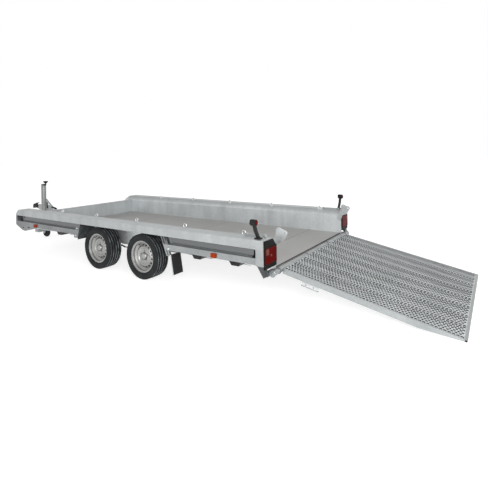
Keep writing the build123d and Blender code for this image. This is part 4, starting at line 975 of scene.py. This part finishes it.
def camera():
    """The photograph's camera, level but for its roll, with the picture shifted below the optical axis."""
    yaw, roll = CAMERA_YAW, CAMERA_ROLL
    forward = Vector((sin(yaw), -cos(yaw), 0.0))
    right = Vector((-cos(yaw), -sin(yaw), 0.0))
    down = Vector((0.0, 0.0, -1.0))
    image_right = cos(roll) * right + sin(roll) * down
    image_down = -sin(roll) * right + cos(roll) * down
    data = bpy.data.cameras.new("camera")
    data.sensor_width = 36.0
    data.lens = FOCAL_PX / PICTURE_PX * data.sensor_width
    data.shift_y = -(PICTURE_PX / 2 - AXIS_ROW_PX) / PICTURE_PX
    data.clip_end = 200.0
    eye = bpy.data.objects.new("camera", data)
    bpy.context.scene.collection.objects.link(eye)
    turn = Matrix((image_right, -image_down, -forward)).transposed()
    eye.matrix_world = Matrix.Translation(to_frame(CAMERA_PLACE)) @ turn.to_4x4()
    bpy.context.scene.camera = eye


def area_light(name, place, target, size, power):
    """A soft box that looks at a target; places and sizes in metres of the frame."""
    data = bpy.data.lights.new(name, "AREA")
    data.shape = "RECTANGLE"
    data.size, data.size_y = size
    data.energy = power
    lamp = bpy.data.objects.new(name, data)
    bpy.context.scene.collection.objects.link(lamp)
    lamp.location = place
    lamp.rotation_euler = (Vector(target) - Vector(place)).to_track_quat("-Z", "Y").to_euler()


def studio_floor():
    """Pale floor that glows, so that it fades into the background."""
    reach = 60.0
    corners = [(-reach, -reach, 0.0), (reach, -reach, 0.0), (reach, reach, 0.0), (-reach, reach, 0.0)]
    mesh = bpy.data.meshes.new("studio_floor")
    mesh.from_pydata(corners, [], [(0, 1, 2, 3)])
    plain = Shader("studio_floor", Roughness=0.9, Emission_Strength=0.74)
    plain.surface.inputs["Base Color"].default_value = (0.42, 0.42, 0.42, 1.0)
    plain.surface.inputs["Emission Color"].default_value = (1.0, 1.0, 1.0, 1.0)
    mesh.materials.append(plain.material)
    floor = bpy.data.objects.new("studio_floor", mesh)
    bpy.context.scene.collection.objects.link(floor)


def surroundings():
    """White surroundings, bright at the horizon and dimmer overhead."""
    world = bpy.data.worlds.new("studio")
    bpy.context.scene.world = world
    world.use_nodes = True
    tree = world.node_tree
    backdrop = tree.nodes["Background"]
    way = tree.nodes.new("ShaderNodeTexCoord")
    axes = tree.nodes.new("ShaderNodeSeparateXYZ")
    fall = tree.nodes.new("ShaderNodeMapRange")
    for socket, value in (("From Min", 0.42), ("From Max", 0.95), ("To Min", 1.0), ("To Max", 0.30)):
        fall.inputs[socket].default_value = value
    tree.links.new(way.outputs["Generated"], axes.inputs["Vector"])
    tree.links.new(axes.outputs["Z"], fall.inputs["Value"])
    tree.links.new(fall.outputs["Result"], backdrop.inputs["Strength"])
    backdrop.inputs["Color"].default_value = (1.0, 1.0, 1.0, 1.0)


def studio():
    """Floor, surroundings and three soft boxes."""
    studio_floor()
    surroundings()
    area_light("key", place=(-5.8, 4.8, 2.6), target=(-1.8, 0.4, 0.4), size=(4.5, 3.0), power=430.0)
    area_light("top", place=(1.0, -1.0, 6.0), target=(0.0, 0.0, 0.3), size=(7.0, 5.0), power=15.0)
    area_light("rear", place=(-8.0, 1.0, 2.6), target=(0.0, -0.6, 0.4), size=(4.0, 2.5), power=90.0)
    bpy.context.scene.view_settings.view_transform = "Standard"


dress_cad_nodes()
for wheel_end in ("front", "rear"):
    for wheel_side, wheel_mirror in SIDES:
        tyre(wheel_end, wheel_side, wheel_mirror)
        rim(wheel_end, wheel_side, wheel_mirror)
        wheel_fittings(wheel_end, wheel_side, wheel_mirror)
for plank_number in range(PLANKS):
    plank(plank_number)
floor_screws()
plate_holder()
handbrake_bar()
SIDE_PIECES = (
    rear_lamp_details, marker_lenses, stay_bolts, nose_shade,
    mudflap_edge, brake_cable, side_catch, hinge_ring,
)
for piece_side, piece_mirror in SIDES:
    for make in SIDE_PIECES:
        make(piece_side, piece_mirror)
camera()
studio()
